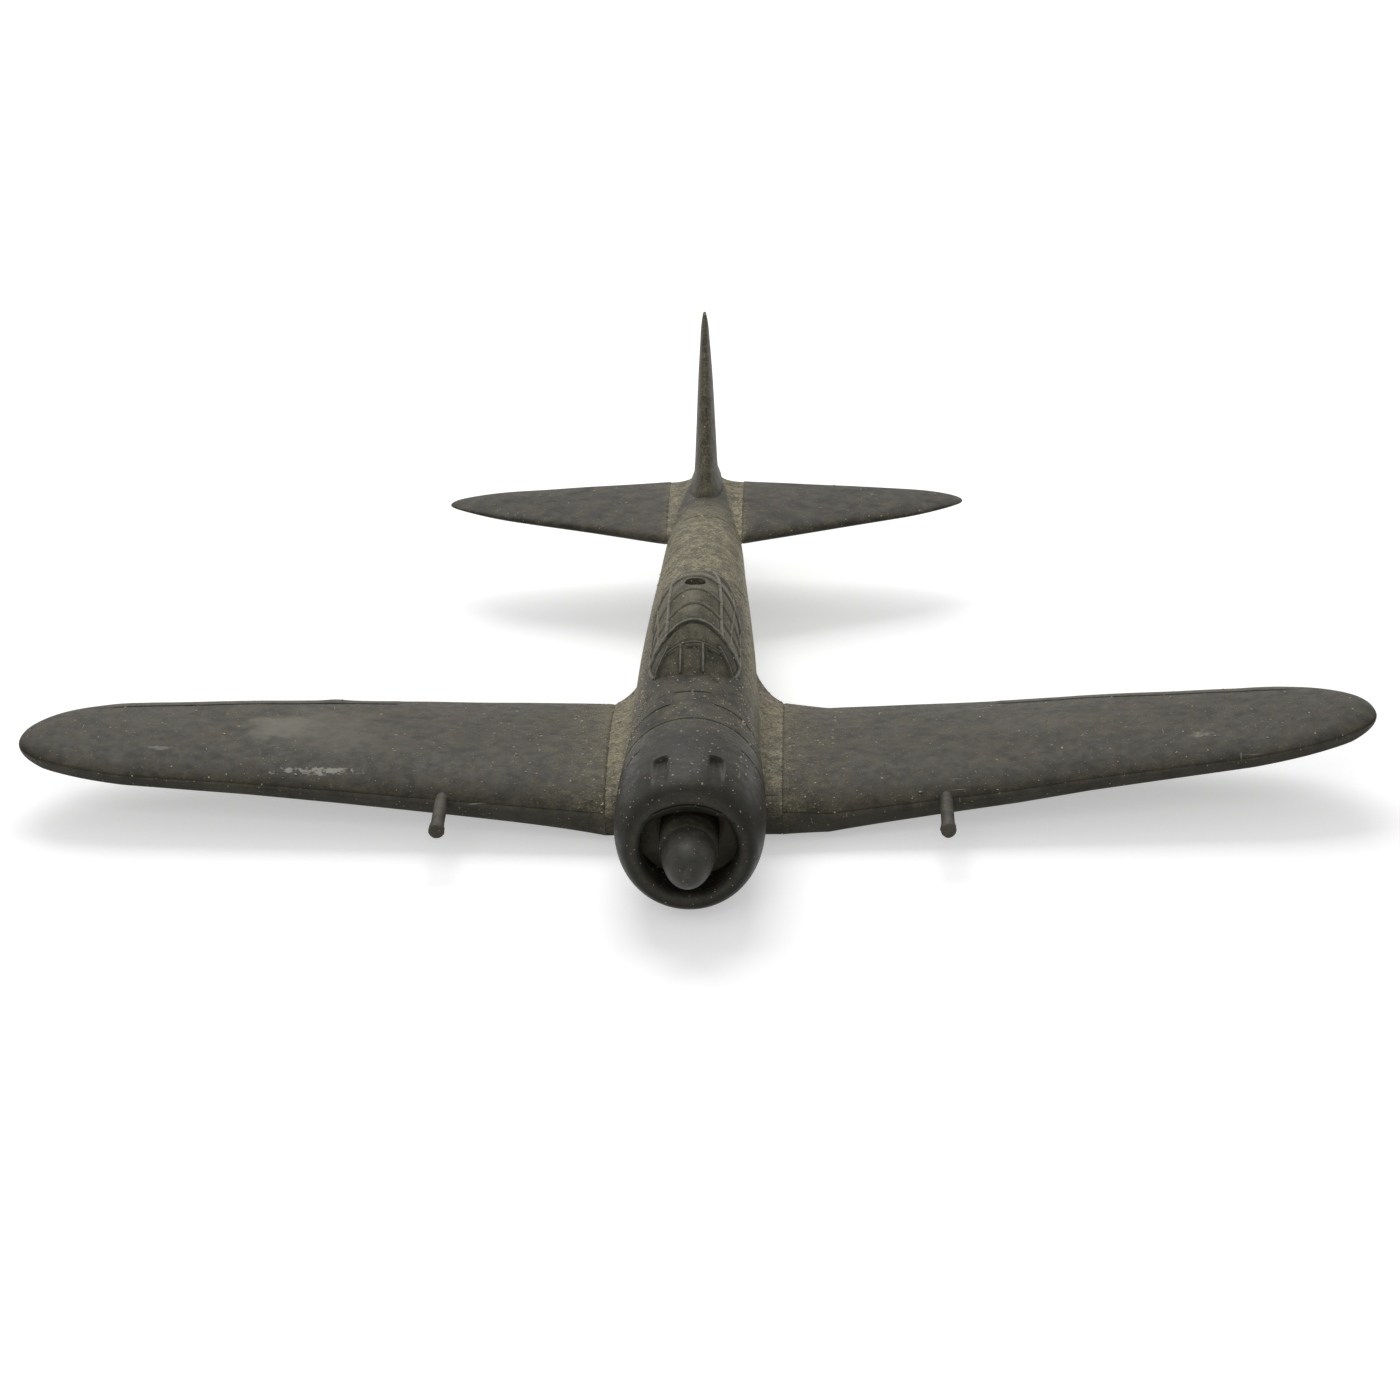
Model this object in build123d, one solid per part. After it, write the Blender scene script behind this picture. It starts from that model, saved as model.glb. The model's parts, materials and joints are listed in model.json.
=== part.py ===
from build123d import *
import math
import os

os.makedirs("parts", exist_ok=True)

# A 1:72 recognition model of a radial-engined low-wing fighter, moulded in black plastic.
# Millimetres. Drawing frame: y = 0 at the spinner tip and aft positive, z = 0 on the thrust
# line, +x to port. Every part is moved to the model frame (nose towards -Y, origin under the
# middle of the model) as it is written.

# Overall sizes
length = 126.7
span = 152.8
belly_depth = 8.9

# Cowling
cowl_lip_y = 8.1
cowl_rear_y = 26.0
cowl_radius = 8.2
cowl_widest_y = 16.5
cowl_rear_radius = 7.9
cowl_wall = 1.3
cowl_shoulder = 0.7
opening_radius = 5.15
lip_depth = 3.0
trough_radius = 0.85
trough_spacing = 6.1
trough_front_y = 10.2
trough_length = 6.4
trough_slope = 4.0
intake_lip_z = 4.14
intake_lip_radius = 8.8
intake_lip_depth = 1.8
intake_slot_z = 5.08
intake_slot_radius = 7.0
intake_slot_height = 0.25
intake_slot_width = 8.2
intake_slot_depth = 0.7
flap_line_y = 21.4
flap_line_low = 3.4
flap_line_high = 6.2

# Engine disc, shaft and spinner
disc_y = 15.5
disc_thickness = 1.6
boss_radius = 3.2
boss_front_y = 7.8
shaft_radius = 1.0
shaft_running_fit = 0.05
spinner_radius = 2.85
spinner_gap = 0.25
collar_radius = 2.2
collar_thickness = 1.4
collar_end_float = 0.2

# Fits
slip = 0.05
spigot_wall = 1.6

# Fuselage
shell_wall = 1.5
cavity_front_y = 27.5
tail_solid = 30.0
pin_radius = 0.5
pin_length = 1.6
pin_places = ((cowl_rear_y + 4.0, 7.1), (length - 24.0, 2.4), (length - 16.0, 11.0))
spine_line_ahead_of_tail = 30.9
spine_line_width = 5.2
spine_line_z = 5.9
line_width = 0.3
line_depth = 0.18

# Wing
wing_joint_x = 9.8
wing_z = -5.0
wing_le_y = 28.7
wing_root_chord = 32.6
wing_le_rake = 0.088
wing_te_rake = 0.149
wing_round_length = 14.4
wing_tip_y = 40.8
wing_thickness_root = 0.145
wing_thickness_tip = 0.09
wing_camber = 0.02
edge_thickness = 0.36
dihedral_port = 5.6
dihedral_starboard = 4.3
set_port = -0.4
set_starboard = 1.8
wing_wall = 0.8
core_shares = (0.2, 0.36, 0.52)
core_start_x = 14.0
core_end_x = 38.0
aileron_inboard_x = 34.2
aileron_outboard_x = 69.0
aileron_width = 1.5

# Wing cannon barrels
cannon_x = 28.0
cannon_radius = 0.74
cannon_muzzle_radius = 0.86
cannon_muzzle_length = 2.2
cannon_overhang = 8.8
cannon_socket = 4.0

# Canopy
canopy_base_z = 6.0
hole_radius = 1.15
hole_depth = 4.0
hole_y = 52.2

# Tailplane and fin
tail_span = 64.2
tail_joint_x = 4.6
tail_z = 2.7
tail_le_ahead = 31.1
tail_chord = 21.4
tail_le_rake = 0.42
tail_te_rake = 0.16
tail_round_length = 8.1
tail_tip_ahead = 17.2
tail_thickness = 0.09
tongue_width = 6.0
tongue_thickness = 0.9
tongue_length = 2.4
tongue_share = 0.42
fin_height = 25.5


def model_frame(part):
    """Moves a part from the drawing frame to the model frame."""
    return Location((0, -length / 2, belly_depth)) * part


def write(name, part):
    """Writes one sub-part's STEP file."""
    export_step(model_frame(part), f"parts/{name}.step")


def closed_face(*lines):
    """A flat face inside the given lines."""
    return Face(Wire([edge for line in lines for edge in line.edges()]))


def mirrored(part):
    """The same part on the other side of the centre plane."""
    return mirror(part, about=Plane.YZ)


def lengthwise_cylinder(radius, y_start, y_end, x=0.0, z=0.0):
    """A round bar along the model's length."""
    bar = extrude(Plane.XZ * Circle(radius), amount=-(y_end - y_start))
    return Location((x, y_start, z)) * bar


# ---------------------------------------------------------------- fuselage

def body_stations(inset=0.0):
    """Fuselage lines: y, half width, top, bottom, fullness of the section."""
    rear = cowl_rear_radius
    lines = [
        (cowl_rear_y, rear, rear, -rear, 2.0),
        (36.0, 7.30, 7.85, -9.2, 2.3),
        (48.0, 7.05, 7.75, -9.6, 2.5),
        (60.0, 6.70, 7.65, -9.0, 2.4),
        (72.0, 6.05, 7.50, -7.3, 2.3),
        (84.0, 5.30, 7.00, -5.5, 2.2),
        (length - 29.7, 4.55, 5.90, -3.5, 2.1),
        (length - 18.7, 3.30, 5.00, -1.7, 2.0),
        (length - 8.7, 1.80, 4.20, 0.2, 2.0),
        (length, 0.40, 3.20, 1.4, 2.0),
    ]
    return [(y, w - inset, top - inset, low + inset, full) for y, w, top, low, full in lines]


def half_section(y, half_width, top, bottom, fullness):
    """The port half of a superellipse section, closed on the centre plane."""
    middle = (top + bottom) / 2
    height = (top - bottom) / 2
    count = 10
    points = []
    for step in range(count + 1):
        angle = math.pi * step / count
        across = abs(math.sin(angle)) ** (2 / fullness)
        up = math.copysign(abs(math.cos(angle)) ** (2 / fullness), math.cos(angle))
        points.append((half_width * across, y, middle + height * up))
    points[0] = (0, y, top)
    points[-1] = (0, y, bottom)
    curve = Spline(*points, tangents=[(1, 0, 0), (-1, 0, 0)])
    return closed_face(curve, Line(points[-1], points[0]))


def half_body():
    """The solid port half of the fuselage."""
    return loft([half_section(*line) for line in body_stations()])


def half_cavity():
    """The hollow inside the port half, from behind the firewall to the solid tail."""
    inner = loft([half_section(*line) for line in body_stations(shell_wall)[:-2]])
    keep = Box(40, length - tail_solid - cavity_front_y, 40, align=(Align.CENTER, Align.MIN, Align.CENTER))
    return inner & (Location((0, cavity_front_y, 0)) * keep)


# ---------------------------------------------------------------- wing

def wing_edges(x):
    """Leading and trailing edge of the wing at a distance from the centre plane."""
    out = x - wing_joint_x
    lead = wing_le_y + wing_le_rake * out
    trail = wing_le_y + wing_root_chord - wing_te_rake * out
    start = span / 2 - wing_round_length
    past = max(0.0, (x - start) / (span / 2 - start))
    round_off = 1 - math.sqrt(max(0.0, 1 - past * past))
    return lead + (wing_tip_y - lead) * round_off, trail + (wing_tip_y - trail) * round_off


def section_height(share, thickness, camber, surface):
    """Height over the chord line of an aerofoil surface, as a share of the chord."""
    half = 5 * thickness * (0.2969 * math.sqrt(share) - 0.1260 * share - 0.3516 * share ** 2
                            + 0.2843 * share ** 3 - 0.1036 * share ** 4)
    bow = 4 * camber * share * (1 - share)
    return bow + half if surface > 0 else bow - half


def wing_thickness(x):
    """Thickness of the wing as a share of its chord."""
    out = min(1.0, (x - wing_joint_x) / (span / 2 - wing_round_length - wing_joint_x))
    return wing_thickness_root + (wing_thickness_tip - wing_thickness_root) * out


def wing_point(x, share, height, side):
    """A point of the wing from its share of the chord and its height over the chord line."""
    dihedral = math.radians(dihedral_port if side > 0 else dihedral_starboard)
    full_set = math.radians(set_port if side > 0 else set_starboard)
    out = max(0.0, x - wing_joint_x)
    nose_down = full_set * out / (span / 2 - wing_joint_x)
    lead, trail = wing_edges(x)
    pivot = 0.4
    along = (share - pivot) * (trail - lead)
    y = lead + pivot * (trail - lead) + along * math.cos(nose_down) - height * math.sin(nose_down)
    z = wing_z + out * math.tan(dihedral) + along * math.sin(nose_down) + height * math.cos(nose_down)
    return (side * x, y, z)


def wing_section(x, surface, side):
    """One surface of the wing at a station, closed along the chord line."""
    lead, trail = wing_edges(x)
    chord = trail - lead
    root_lead, root_trail = wing_edges(wing_joint_x)
    edge = edge_thickness * min(1.0, chord / (0.5 * (root_trail - root_lead)))
    shares = [(1 - math.cos(math.pi * step / 12)) / 2 for step in range(13)]
    points = []
    for share in shares:
        height = chord * section_height(share, wing_thickness(x), wing_camber, surface)
        points.append(wing_point(x, share, height + surface * share * edge / 2, side))
    nose = points[0]
    tail = wing_point(x, 1.0, 0.0, side)
    return closed_face(Spline(*points), Line(points[-1], tail), Line(tail, nose))


def wing_stations():
    """Distances from the centre plane of the sections of a wing panel."""
    start = span / 2 - wing_round_length
    tip = span / 2 - start
    return ([wing_joint_x, (wing_joint_x + start) / 2, start]
            + [start + tip * share for share in (0.3, 0.55, 0.75, 0.89, 0.97, 0.998)])


def wing_panel(surface, side):
    """The upper or lower half of one wing, outboard of the joint."""
    return loft([wing_section(x, surface, side) for x in wing_stations()], ruled=True)


def wing_core(side):
    """The hollow inside one wing, between its two skins."""
    def ring(x):
        lead, trail = wing_edges(x)
        chord = trail - lead
        top = [(share, chord * section_height(share, wing_thickness(x), wing_camber, 1) - wing_wall)
               for share in core_shares]
        low = [(share, chord * section_height(share, wing_thickness(x), wing_camber, -1) + wing_wall)
               for share in reversed(core_shares)]
        return make_face(Polyline(*[wing_point(x, s, h, side) for s, h in top + low], close=True))
    return loft([ring(core_start_x), ring(core_end_x)], ruled=True)


def centre_section(surface):
    """The straight wing section between the two joints."""
    face = wing_section(wing_joint_x, surface, 1)
    return extrude(face, amount=2 * wing_joint_x, dir=(-1, 0, 0))


def aileron_line(side):
    """The groove along the front of an aileron."""
    def slot(x):
        lead, trail = wing_edges(x)
        chord = trail - lead
        share = 1 - aileron_width / chord
        skin = (chord * section_height(share, wing_thickness(x), wing_camber, 1)
                + share * edge_thickness / 2)
        half = line_width / 2 / chord
        corners = [(share - half, skin - line_depth), (share + half, skin - line_depth),
                   (share + half, skin + 1), (share - half, skin + 1)]
        return make_face(Polyline(*[wing_point(x, s, h, side) for s, h in corners], close=True))
    steps = 4
    reach = aileron_outboard_x - aileron_inboard_x
    return loft([slot(aileron_inboard_x + reach * k / steps) for k in range(steps + 1)], ruled=True)


def cannon_axis(side):
    """The point of the leading edge that a cannon barrel comes out of."""
    return wing_point(cannon_x, 0.0, 0.0, side)


def cannon_hole(side):
    """The socket for a cannon barrel in the leading edge."""
    x, y, z = cannon_axis(side)
    return lengthwise_cylinder(cannon_radius + slip, y - 2, y + cannon_socket + slip, x, z)


def cannon_barrel(side):
    """A plain round barrel with a slightly swollen muzzle."""
    x, y, z = cannon_axis(side)
    front = y - cannon_overhang
    behind = front + cannon_muzzle_length
    tube = lengthwise_cylinder(cannon_radius, behind, y + cannon_socket, x, z)
    end = fillet(lengthwise_cylinder(cannon_muzzle_radius, front, behind, x, z).edges(), 0.3)
    return tube + end


# ---------------------------------------------------------------- fairing between wing and body

def wing_top_z(y):
    """Height of the upper skin beside the body."""
    share = min(1.0, max(0.0, (y - wing_le_y) / wing_root_chord))
    skin = wing_root_chord * section_height(share, wing_thickness_root, wing_camber, 1)
    return wing_z + skin + share * edge_thickness / 2


def fairing():
    """The port fillet that spreads from the body side onto the wing and fades out aft."""
    trail = wing_le_y + wing_root_chord
    # y, how far out it reaches, how far in it starts, how far up the side it climbs
    rows = [(wing_le_y + 2.5, 8.6, 6.6, 1.6), (wing_le_y + 13, 9.0, 6.4, 3.0),
            (trail - 9, 9.5, 6.1, 4.4), (trail - 0.4, wing_joint_x - 0.02, 5.8, 5.6),
            (trail + 5.5, 7.7, 5.5, 5.0), (trail + 12.0, 6.3, 5.1, 3.2)]
    faces = []
    for y, reach, sunk, rise in rows:
        foot_z = wing_top_z(y) + 0.02
        foot = (reach, y, foot_z)
        head = (sunk, y, foot_z + rise)
        bend = (sunk + 0.28 * (reach - sunk), y, foot_z + 0.28 * rise)
        root = (reach, y, foot_z - 0.3)
        inner = (sunk - 1.0, y, foot_z - 0.5)
        faces.append(closed_face(ThreePointArc(head, bend, foot), Line(foot, root),
                                 Line(root, inner), Line(inner, head)))
    return loft(faces, ruled=True)


# ---------------------------------------------------------------- tail

def tail_edges(x):
    """Leading and trailing edge of the tailplane."""
    out = x - tail_joint_x
    lead = length - tail_le_ahead + tail_le_rake * out
    trail = length - tail_le_ahead + tail_chord - tail_te_rake * out
    start = tail_span / 2 - tail_round_length
    past = max(0.0, (x - start) / (tail_span / 2 - start))
    round_off = 1 - math.sqrt(max(0.0, 1 - past * past))
    tip = length - tail_tip_ahead
    return lead + (tip - lead) * round_off, trail + (tip - trail) * round_off


def tail_section(x):
    """The symmetrical section of the tailplane."""
    lead, trail = tail_edges(x)
    chord = trail - lead
    edge = edge_thickness * min(1.0, 2 * chord / tail_chord)
    shares = [(1 - math.cos(math.pi * step / 10)) / 2 for step in range(11)]

    def skin(surface):
        return [(x, lead + share * chord,
                 tail_z + chord * section_height(share, tail_thickness, 0.0, surface)
                 + surface * share * edge / 2) for share in shares]
    upper = skin(1)
    lower = skin(-1)
    return closed_face(Spline(*upper), Line(upper[-1], lower[-1]), Spline(*reversed(lower)))


def tail_stations():
    """Distances from the centre plane of the tailplane's sections."""
    start = tail_span / 2 - tail_round_length
    tip = tail_span / 2 - start
    return ([tail_joint_x, (tail_joint_x + start) / 2, start]
            + [start + tip * share for share in (0.35, 0.62, 0.82, 0.94, 0.997)])


def tongue(clearance=0.0):
    """The flat tongue that plugs the port tailplane into the body."""
    middle = length - tail_le_ahead + tongue_share * tail_chord
    plate = Box(tongue_length + clearance, tongue_width + 2 * clearance,
                tongue_thickness + 2 * clearance, align=(Align.MAX, Align.CENTER, Align.CENTER))
    return Location((tail_joint_x, middle, tail_z)) * plate


def tailplane():
    """The port tailplane."""
    return loft([tail_section(x) for x in tail_stations()], ruled=True) + tongue()


def tail_stub():
    """The short root of the tailplane that is part of the body, port side."""
    return extrude(tail_section(tail_joint_x), amount=tail_joint_x, dir=(-1, 0, 0))


def fin_section(z, lead, trail, thickness):
    """The port half of a fin section."""
    chord = trail - lead
    shares = [(1 - math.cos(math.pi * step / 9)) / 2 for step in range(10)]
    edge = min(edge_thickness, 0.4 * thickness)
    points = []
    for share in shares:
        half = chord * section_height(share, thickness / chord, 0.0, 1) + share * edge / 2
        points.append((half, lead + share * chord, z))
    tail = (0, trail, z)
    return closed_face(Spline(*points), Line(points[-1], tail), Line(tail, points[0]))


def half_fin():
    """The port half of the fin and rudder."""
    # z, leading edge ahead of the tail, trailing edge ahead of the tail, thickness
    rows = [(3.4, 25.6, 2.0, 2.8), (7.5, 21.8, 0.7, 2.6), (12.5, 18.3, 1.0, 2.15),
            (17.5, 15.2, 3.0, 1.65), (21.5, 13.0, 5.4, 1.1), (fin_height - 1.3, 11.6, 7.7, 0.7),
            (fin_height - 0.2, 10.8, 9.3, 0.4)]
    return loft([fin_section(z, length - ahead, length - behind, thick)
                 for z, ahead, behind, thick in rows])


def spine_line():
    """The shallow line across the top of the body ahead of the fin."""
    y = length - spine_line_ahead_of_tail
    groove = Box(spine_line_width, line_width, 2.0, align=(Align.CENTER, Align.CENTER, Align.MIN))
    return Location((0, y, spine_line_z - line_depth)) * groove


# ---------------------------------------------------------------- canopy

def canopy_stations():
    """Canopy lines: y, half width at the sill, top, fullness."""
    return [(38.9, 3.6, 7.9, 2.1), (41.3, 4.7, 10.2, 2.1), (44.3, 5.0, 12.5, 2.1),
            (47.6, 5.0, 13.5, 2.4), (51.5, 4.95, 14.0, 2.5), (55.5, 4.9, 13.55, 2.5),
            (59.5, 4.7, 12.2, 2.5), (63.5, 4.3, 10.7, 2.4), (67.7, 3.8, 9.2, 2.3),
            (72.0, 3.2, 7.8, 2.2)]


def canopy_section(y, half_width, top, fullness):
    """A full arch of the canopy on its flat base."""
    height = top - canopy_base_z
    count = 12
    points = []
    for step in range(count + 1):
        angle = math.pi * (step / count - 0.5)
        across = math.copysign(abs(math.sin(angle)) ** (2 / fullness), math.sin(angle))
        up = abs(math.cos(angle)) ** (2 / fullness)
        points.append((half_width * across, y, canopy_base_z + height * up))
    points[0] = (-half_width, y, canopy_base_z)
    points[-1] = (half_width, y, canopy_base_z)
    return closed_face(Spline(*points), Line(points[-1], points[0]))


def canopy():
    """The long glazed canopy, moulded solid, with the display hole in its top."""
    shape = loft([canopy_section(*line) for line in canopy_stations()], ruled=True)
    top = max(line[2] for line in canopy_stations())
    hole = Cylinder(hole_radius, hole_depth + 1, align=(Align.CENTER, Align.CENTER, Align.MIN))
    return shape - Location((0, hole_y, top - hole_depth)) * hole


def canopy_seat():
    """The flat-bottomed recess that the canopy sits in."""
    faces = []
    lines = canopy_stations()
    first, last = lines[0], lines[-1]
    lines = [(first[0] - slip,) + first[1:]] + lines[1:-1] + [(last[0] + slip,) + last[1:]]
    for y, half_width, _, _ in lines:
        side = half_width + slip
        faces.append(make_face(Polyline((-side, y, canopy_base_z), (side, y, canopy_base_z),
                                        (side, y, canopy_base_z + 6), (-side, y, canopy_base_z + 6),
                                        close=True)))
    return loft(faces, ruled=True)


# ---------------------------------------------------------------- nose

def cowling():
    """The engine cowling: a barrel with a rounded lip, a bore and a shoulder for the disc."""
    bore = cowl_radius - cowl_wall
    mid = (opening_radius + cowl_radius) / 2
    outer = Spline((mid - 0.9, cowl_lip_y), (cowl_radius - 0.75, cowl_lip_y + 2.0),
                   (cowl_radius, cowl_widest_y), (cowl_rear_radius, cowl_rear_y),
                   tangents=[(1, 0), (-0.03, 1)])
    lip = ThreePointArc((opening_radius, cowl_lip_y + 0.8),
                        (opening_radius + 0.25, cowl_lip_y + 0.22), (mid - 0.9, cowl_lip_y))
    points = [(cowl_rear_radius, cowl_rear_y), (bore, cowl_rear_y), (bore, disc_y),
              (bore - cowl_shoulder, disc_y), (bore - cowl_shoulder, cowl_lip_y + lip_depth),
              (opening_radius, cowl_lip_y + lip_depth - 0.6), (opening_radius, cowl_lip_y + 0.8)]
    ring = revolve(closed_face(outer, Polyline(*points), lip), axis=Axis.Y)
    for side in (-1, 1):
        ring -= gun_trough(side)
    return ring + intake_lip() - intake_slot() - flap_lines()


def gun_trough(side):
    """A shallow trough in the top of the cowling that fades out aft."""
    x = side * trough_spacing / 2
    z = math.sqrt(cowl_radius ** 2 - x ** 2) + 0.15
    bar = lengthwise_cylinder(trough_radius, 0, trough_length) + Sphere(trough_radius)
    return Location((x, trough_front_y, z), (trough_slope, 0, 0)) * bar


def across_nose(sketch, y_start, depth):
    """A sketch seen from ahead, extruded aft."""
    return extrude(Plane((0, y_start, 0), x_dir=(1, 0, 0), z_dir=(0, -1, 0)) * sketch, amount=-depth)


def intake_lip():
    """The lip that closes the top of the opening, below the intake."""
    ring = Circle(opening_radius + 0.3)
    below = Pos(0, intake_lip_z - intake_lip_radius) * Circle(intake_lip_radius)
    above = Pos(0, opening_radius) * Rectangle(4 * opening_radius, 2 * opening_radius)
    return across_nose((ring - below) & above, cowl_lip_y + 0.5, intake_lip_depth)


def intake_slot():
    """The thin crescent slot of the intake, over its lip."""
    middle = Pos(0, intake_slot_z - intake_slot_radius)
    crescent = middle * (Circle(intake_slot_radius + intake_slot_height) - Circle(intake_slot_radius))
    crescent &= Pos(0, intake_slot_z) * Rectangle(intake_slot_width, 4)
    return across_nose(crescent, cowl_lip_y - 1, intake_slot_depth + 1.5)


def flap_lines():
    """The line along the front of the cowl flaps, on both flanks."""
    ring = lengthwise_cylinder(cowl_radius + 1, flap_line_y, flap_line_y + line_width)
    ring -= lengthwise_cylinder(cowl_radius - 0.1 - line_depth, flap_line_y, flap_line_y + line_width)
    band = Box(4 * cowl_radius, 40, flap_line_low + flap_line_high,
               align=(Align.CENTER, Align.CENTER, Align.MIN))
    return ring & (Location((0, flap_line_y, -flap_line_low)) * band)


def engine_disc():
    """The plate across the inside of the cowling, with the boss that carries the shaft."""
    rim = cowl_radius - cowl_wall - slip
    plate = lengthwise_cylinder(rim, disc_y, disc_y + disc_thickness)
    boss = lengthwise_cylinder(boss_radius, boss_front_y, disc_y)
    bore = lengthwise_cylinder(shaft_radius + shaft_running_fit, 0, disc_y + 5)
    return plate + boss - bore


def spinner():
    """The ogive spinner on its shaft."""
    base = boss_front_y - spinner_gap
    nose = Spline((0, 0), (0.62 * spinner_radius, 0.26 * base), (0.93 * spinner_radius, 0.62 * base),
                  (spinner_radius, base), tangents=[(1, 0), (0, 1)])
    face = closed_face(nose, Line((spinner_radius, base), (0, base)), Line((0, base), (0, 0)))
    end = disc_y + disc_thickness + collar_end_float + collar_thickness + 0.4
    return revolve(face, axis=Axis.Y) + lengthwise_cylinder(shaft_radius, base - 0.5, end)


def shaft_collar():
    """The ring fixed on the shaft behind the disc, which keeps the spinner in."""
    start = disc_y + disc_thickness + collar_end_float
    ring = lengthwise_cylinder(collar_radius, start, start + collar_thickness)
    return ring - lengthwise_cylinder(shaft_radius + 0.01, start, start + collar_thickness)


def nose_spigot():
    """The port half of the tube that the cowling slides over."""
    outside = cowl_radius - cowl_wall - slip
    start = disc_y + disc_thickness
    tube = lengthwise_cylinder(outside, start, cowl_rear_y + 2)
    tube -= lengthwise_cylinder(outside - spigot_wall, start, cowl_rear_y + 2)
    return tube & port_side()


def port_side():
    """Everything on the port side of the centre plane."""
    return Box(200, 600, 200, align=(Align.MIN, Align.CENTER, Align.CENTER))


# ---------------------------------------------------------------- bodies made from the lines

def belly_zone():
    """The space under the chord plane, between the wing's edges, that the lower wing fills."""
    box = Box(2 * wing_joint_x, wing_root_chord, 20, align=(Align.CENTER, Align.MIN, Align.MAX))
    return Location((0, wing_le_y, wing_z)) * box


def below_belly():
    """Everything under the flat belly."""
    box = Box(100, 400, 20, align=(Align.CENTER, Align.CENTER, Align.MAX))
    return Location((0, 0, -belly_depth)) * box


def pin(y, z, clearance=0.0):
    """A locating pin across the centre plane."""
    bar = Cylinder(pin_radius + clearance, 2 * (pin_length + clearance), rotation=(0, 90, 0))
    return Location((0, y, z)) * bar


def pins(clearance=0.0):
    """The three pins that line up the two halves of the body."""
    first, *others = [pin(y, z, clearance) for y, z in pin_places]
    for other in others:
        first += other
    return first


def body_half():
    """The port half of the body, before the locating pins."""
    shell = half_body() - half_cavity() - belly_zone() - below_belly()
    stub = centre_section(1) & port_side()
    stub -= half_cavity()
    shell += stub + fairing() + nose_spigot() + half_fin() + tail_stub()
    shell -= belly_zone()
    return shell - canopy_seat() - tongue(slip) - spine_line()


def wing_lower():
    """The lower wing in one piece, with the flat belly between the panels."""
    belly = half_body() & belly_zone()
    belly += mirrored(belly)
    wing = belly - below_belly() + centre_section(-1)
    for side in (1, -1):
        wing += wing_panel(-1, side)
        wing = wing - wing_core(side) - cannon_hole(side)
    return wing


def wing_upper(side):
    """The upper skin of one wing."""
    return wing_panel(1, side) - wing_core(side) - cannon_hole(side) - aileron_line(side)


half = body_half()
write("fuselage_port_half", half + pins())
write("fuselage_starboard_half", mirrored(half) - pins(slip))
write("canopy", canopy())
write("cowling", cowling())
write("engine_disc", engine_disc())
write("spinner", spinner())
write("shaft_collar", shaft_collar())
write("wing_lower", wing_lower())
write("wing_upper_port", wing_upper(1))
write("wing_upper_starboard", wing_upper(-1))
write("cannon_barrel_port", cannon_barrel(1))
write("cannon_barrel_starboard", cannon_barrel(-1))
write("tailplane_port", tailplane())
write("tailplane_starboard", mirrored(tailplane()))
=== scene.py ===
import json
import math
import bmesh
import bpy
import numpy as np
from mathutils import Matrix, Vector


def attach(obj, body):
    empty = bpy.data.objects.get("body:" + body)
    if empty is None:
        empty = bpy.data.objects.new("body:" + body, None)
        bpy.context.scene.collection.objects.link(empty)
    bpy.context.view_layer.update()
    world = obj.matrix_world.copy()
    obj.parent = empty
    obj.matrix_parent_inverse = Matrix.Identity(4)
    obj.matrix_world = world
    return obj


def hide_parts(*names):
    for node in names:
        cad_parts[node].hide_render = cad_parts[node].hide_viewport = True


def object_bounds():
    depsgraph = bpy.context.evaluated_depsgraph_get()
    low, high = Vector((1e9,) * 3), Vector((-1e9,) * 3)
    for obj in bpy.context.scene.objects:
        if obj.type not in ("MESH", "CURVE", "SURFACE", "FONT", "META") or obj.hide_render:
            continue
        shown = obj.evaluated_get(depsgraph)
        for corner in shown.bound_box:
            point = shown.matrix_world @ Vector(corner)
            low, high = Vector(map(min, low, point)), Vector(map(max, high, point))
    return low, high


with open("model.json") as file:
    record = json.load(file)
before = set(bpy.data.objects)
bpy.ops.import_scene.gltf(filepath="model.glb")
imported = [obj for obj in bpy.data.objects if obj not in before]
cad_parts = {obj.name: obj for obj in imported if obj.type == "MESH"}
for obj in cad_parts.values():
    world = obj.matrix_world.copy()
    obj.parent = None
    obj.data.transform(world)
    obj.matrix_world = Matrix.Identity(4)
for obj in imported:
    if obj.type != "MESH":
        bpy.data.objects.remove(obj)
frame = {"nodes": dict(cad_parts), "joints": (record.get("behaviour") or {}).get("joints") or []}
cad_low, cad_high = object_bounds()

# Drawing millimetres, as on the part's drawing: x to port, y aft from the tip of the spinner,
# z up from the thrust line. metres() moves them into the model's frame.
MM = 0.001
thrust_height = frame["joints"][0]["pos_m"][2]
length = (cad_high.y - cad_low.y) / MM
span = (cad_high.x - cad_low.x) / MM


def metres(points):
    """Drawing millimetres to metres in the model's frame."""
    moved = np.asarray(points, float) * MM
    return moved + np.array([0.0, cad_low.y, thrust_height])


# ---------------------------------------------------------------- helpers for curves and meshes

def smooth_table(stations, at):
    """Reads a table of stations smoothly. The first column is where, the rest is what."""
    table = np.array(stations, float)
    where, what = table[:, 0], table[:, 1:]
    slope = np.gradient(what, where, axis=0)
    at = np.asarray(at, float)
    left = np.clip(np.searchsorted(where, at, side="right") - 1, 0, len(where) - 2)
    gap = where[left + 1] - where[left]
    s = np.clip((at - where[left]) / gap, 0.0, 1.0)[..., None]
    gap = gap[..., None]
    value = ((1 + 2 * s) * (1 - s) ** 2 * what[left] + s * (1 - s) ** 2 * gap * slope[left]
             + s * s * (3 - 2 * s) * what[left + 1] + s * s * (s - 1) * gap * slope[left + 1])
    return np.moveaxis(value, -1, 0)


def ease(value):
    """A soft step from 0 to 1."""
    value = np.clip(value, 0.0, 1.0)
    return value * value * (3 - 2 * value)


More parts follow.
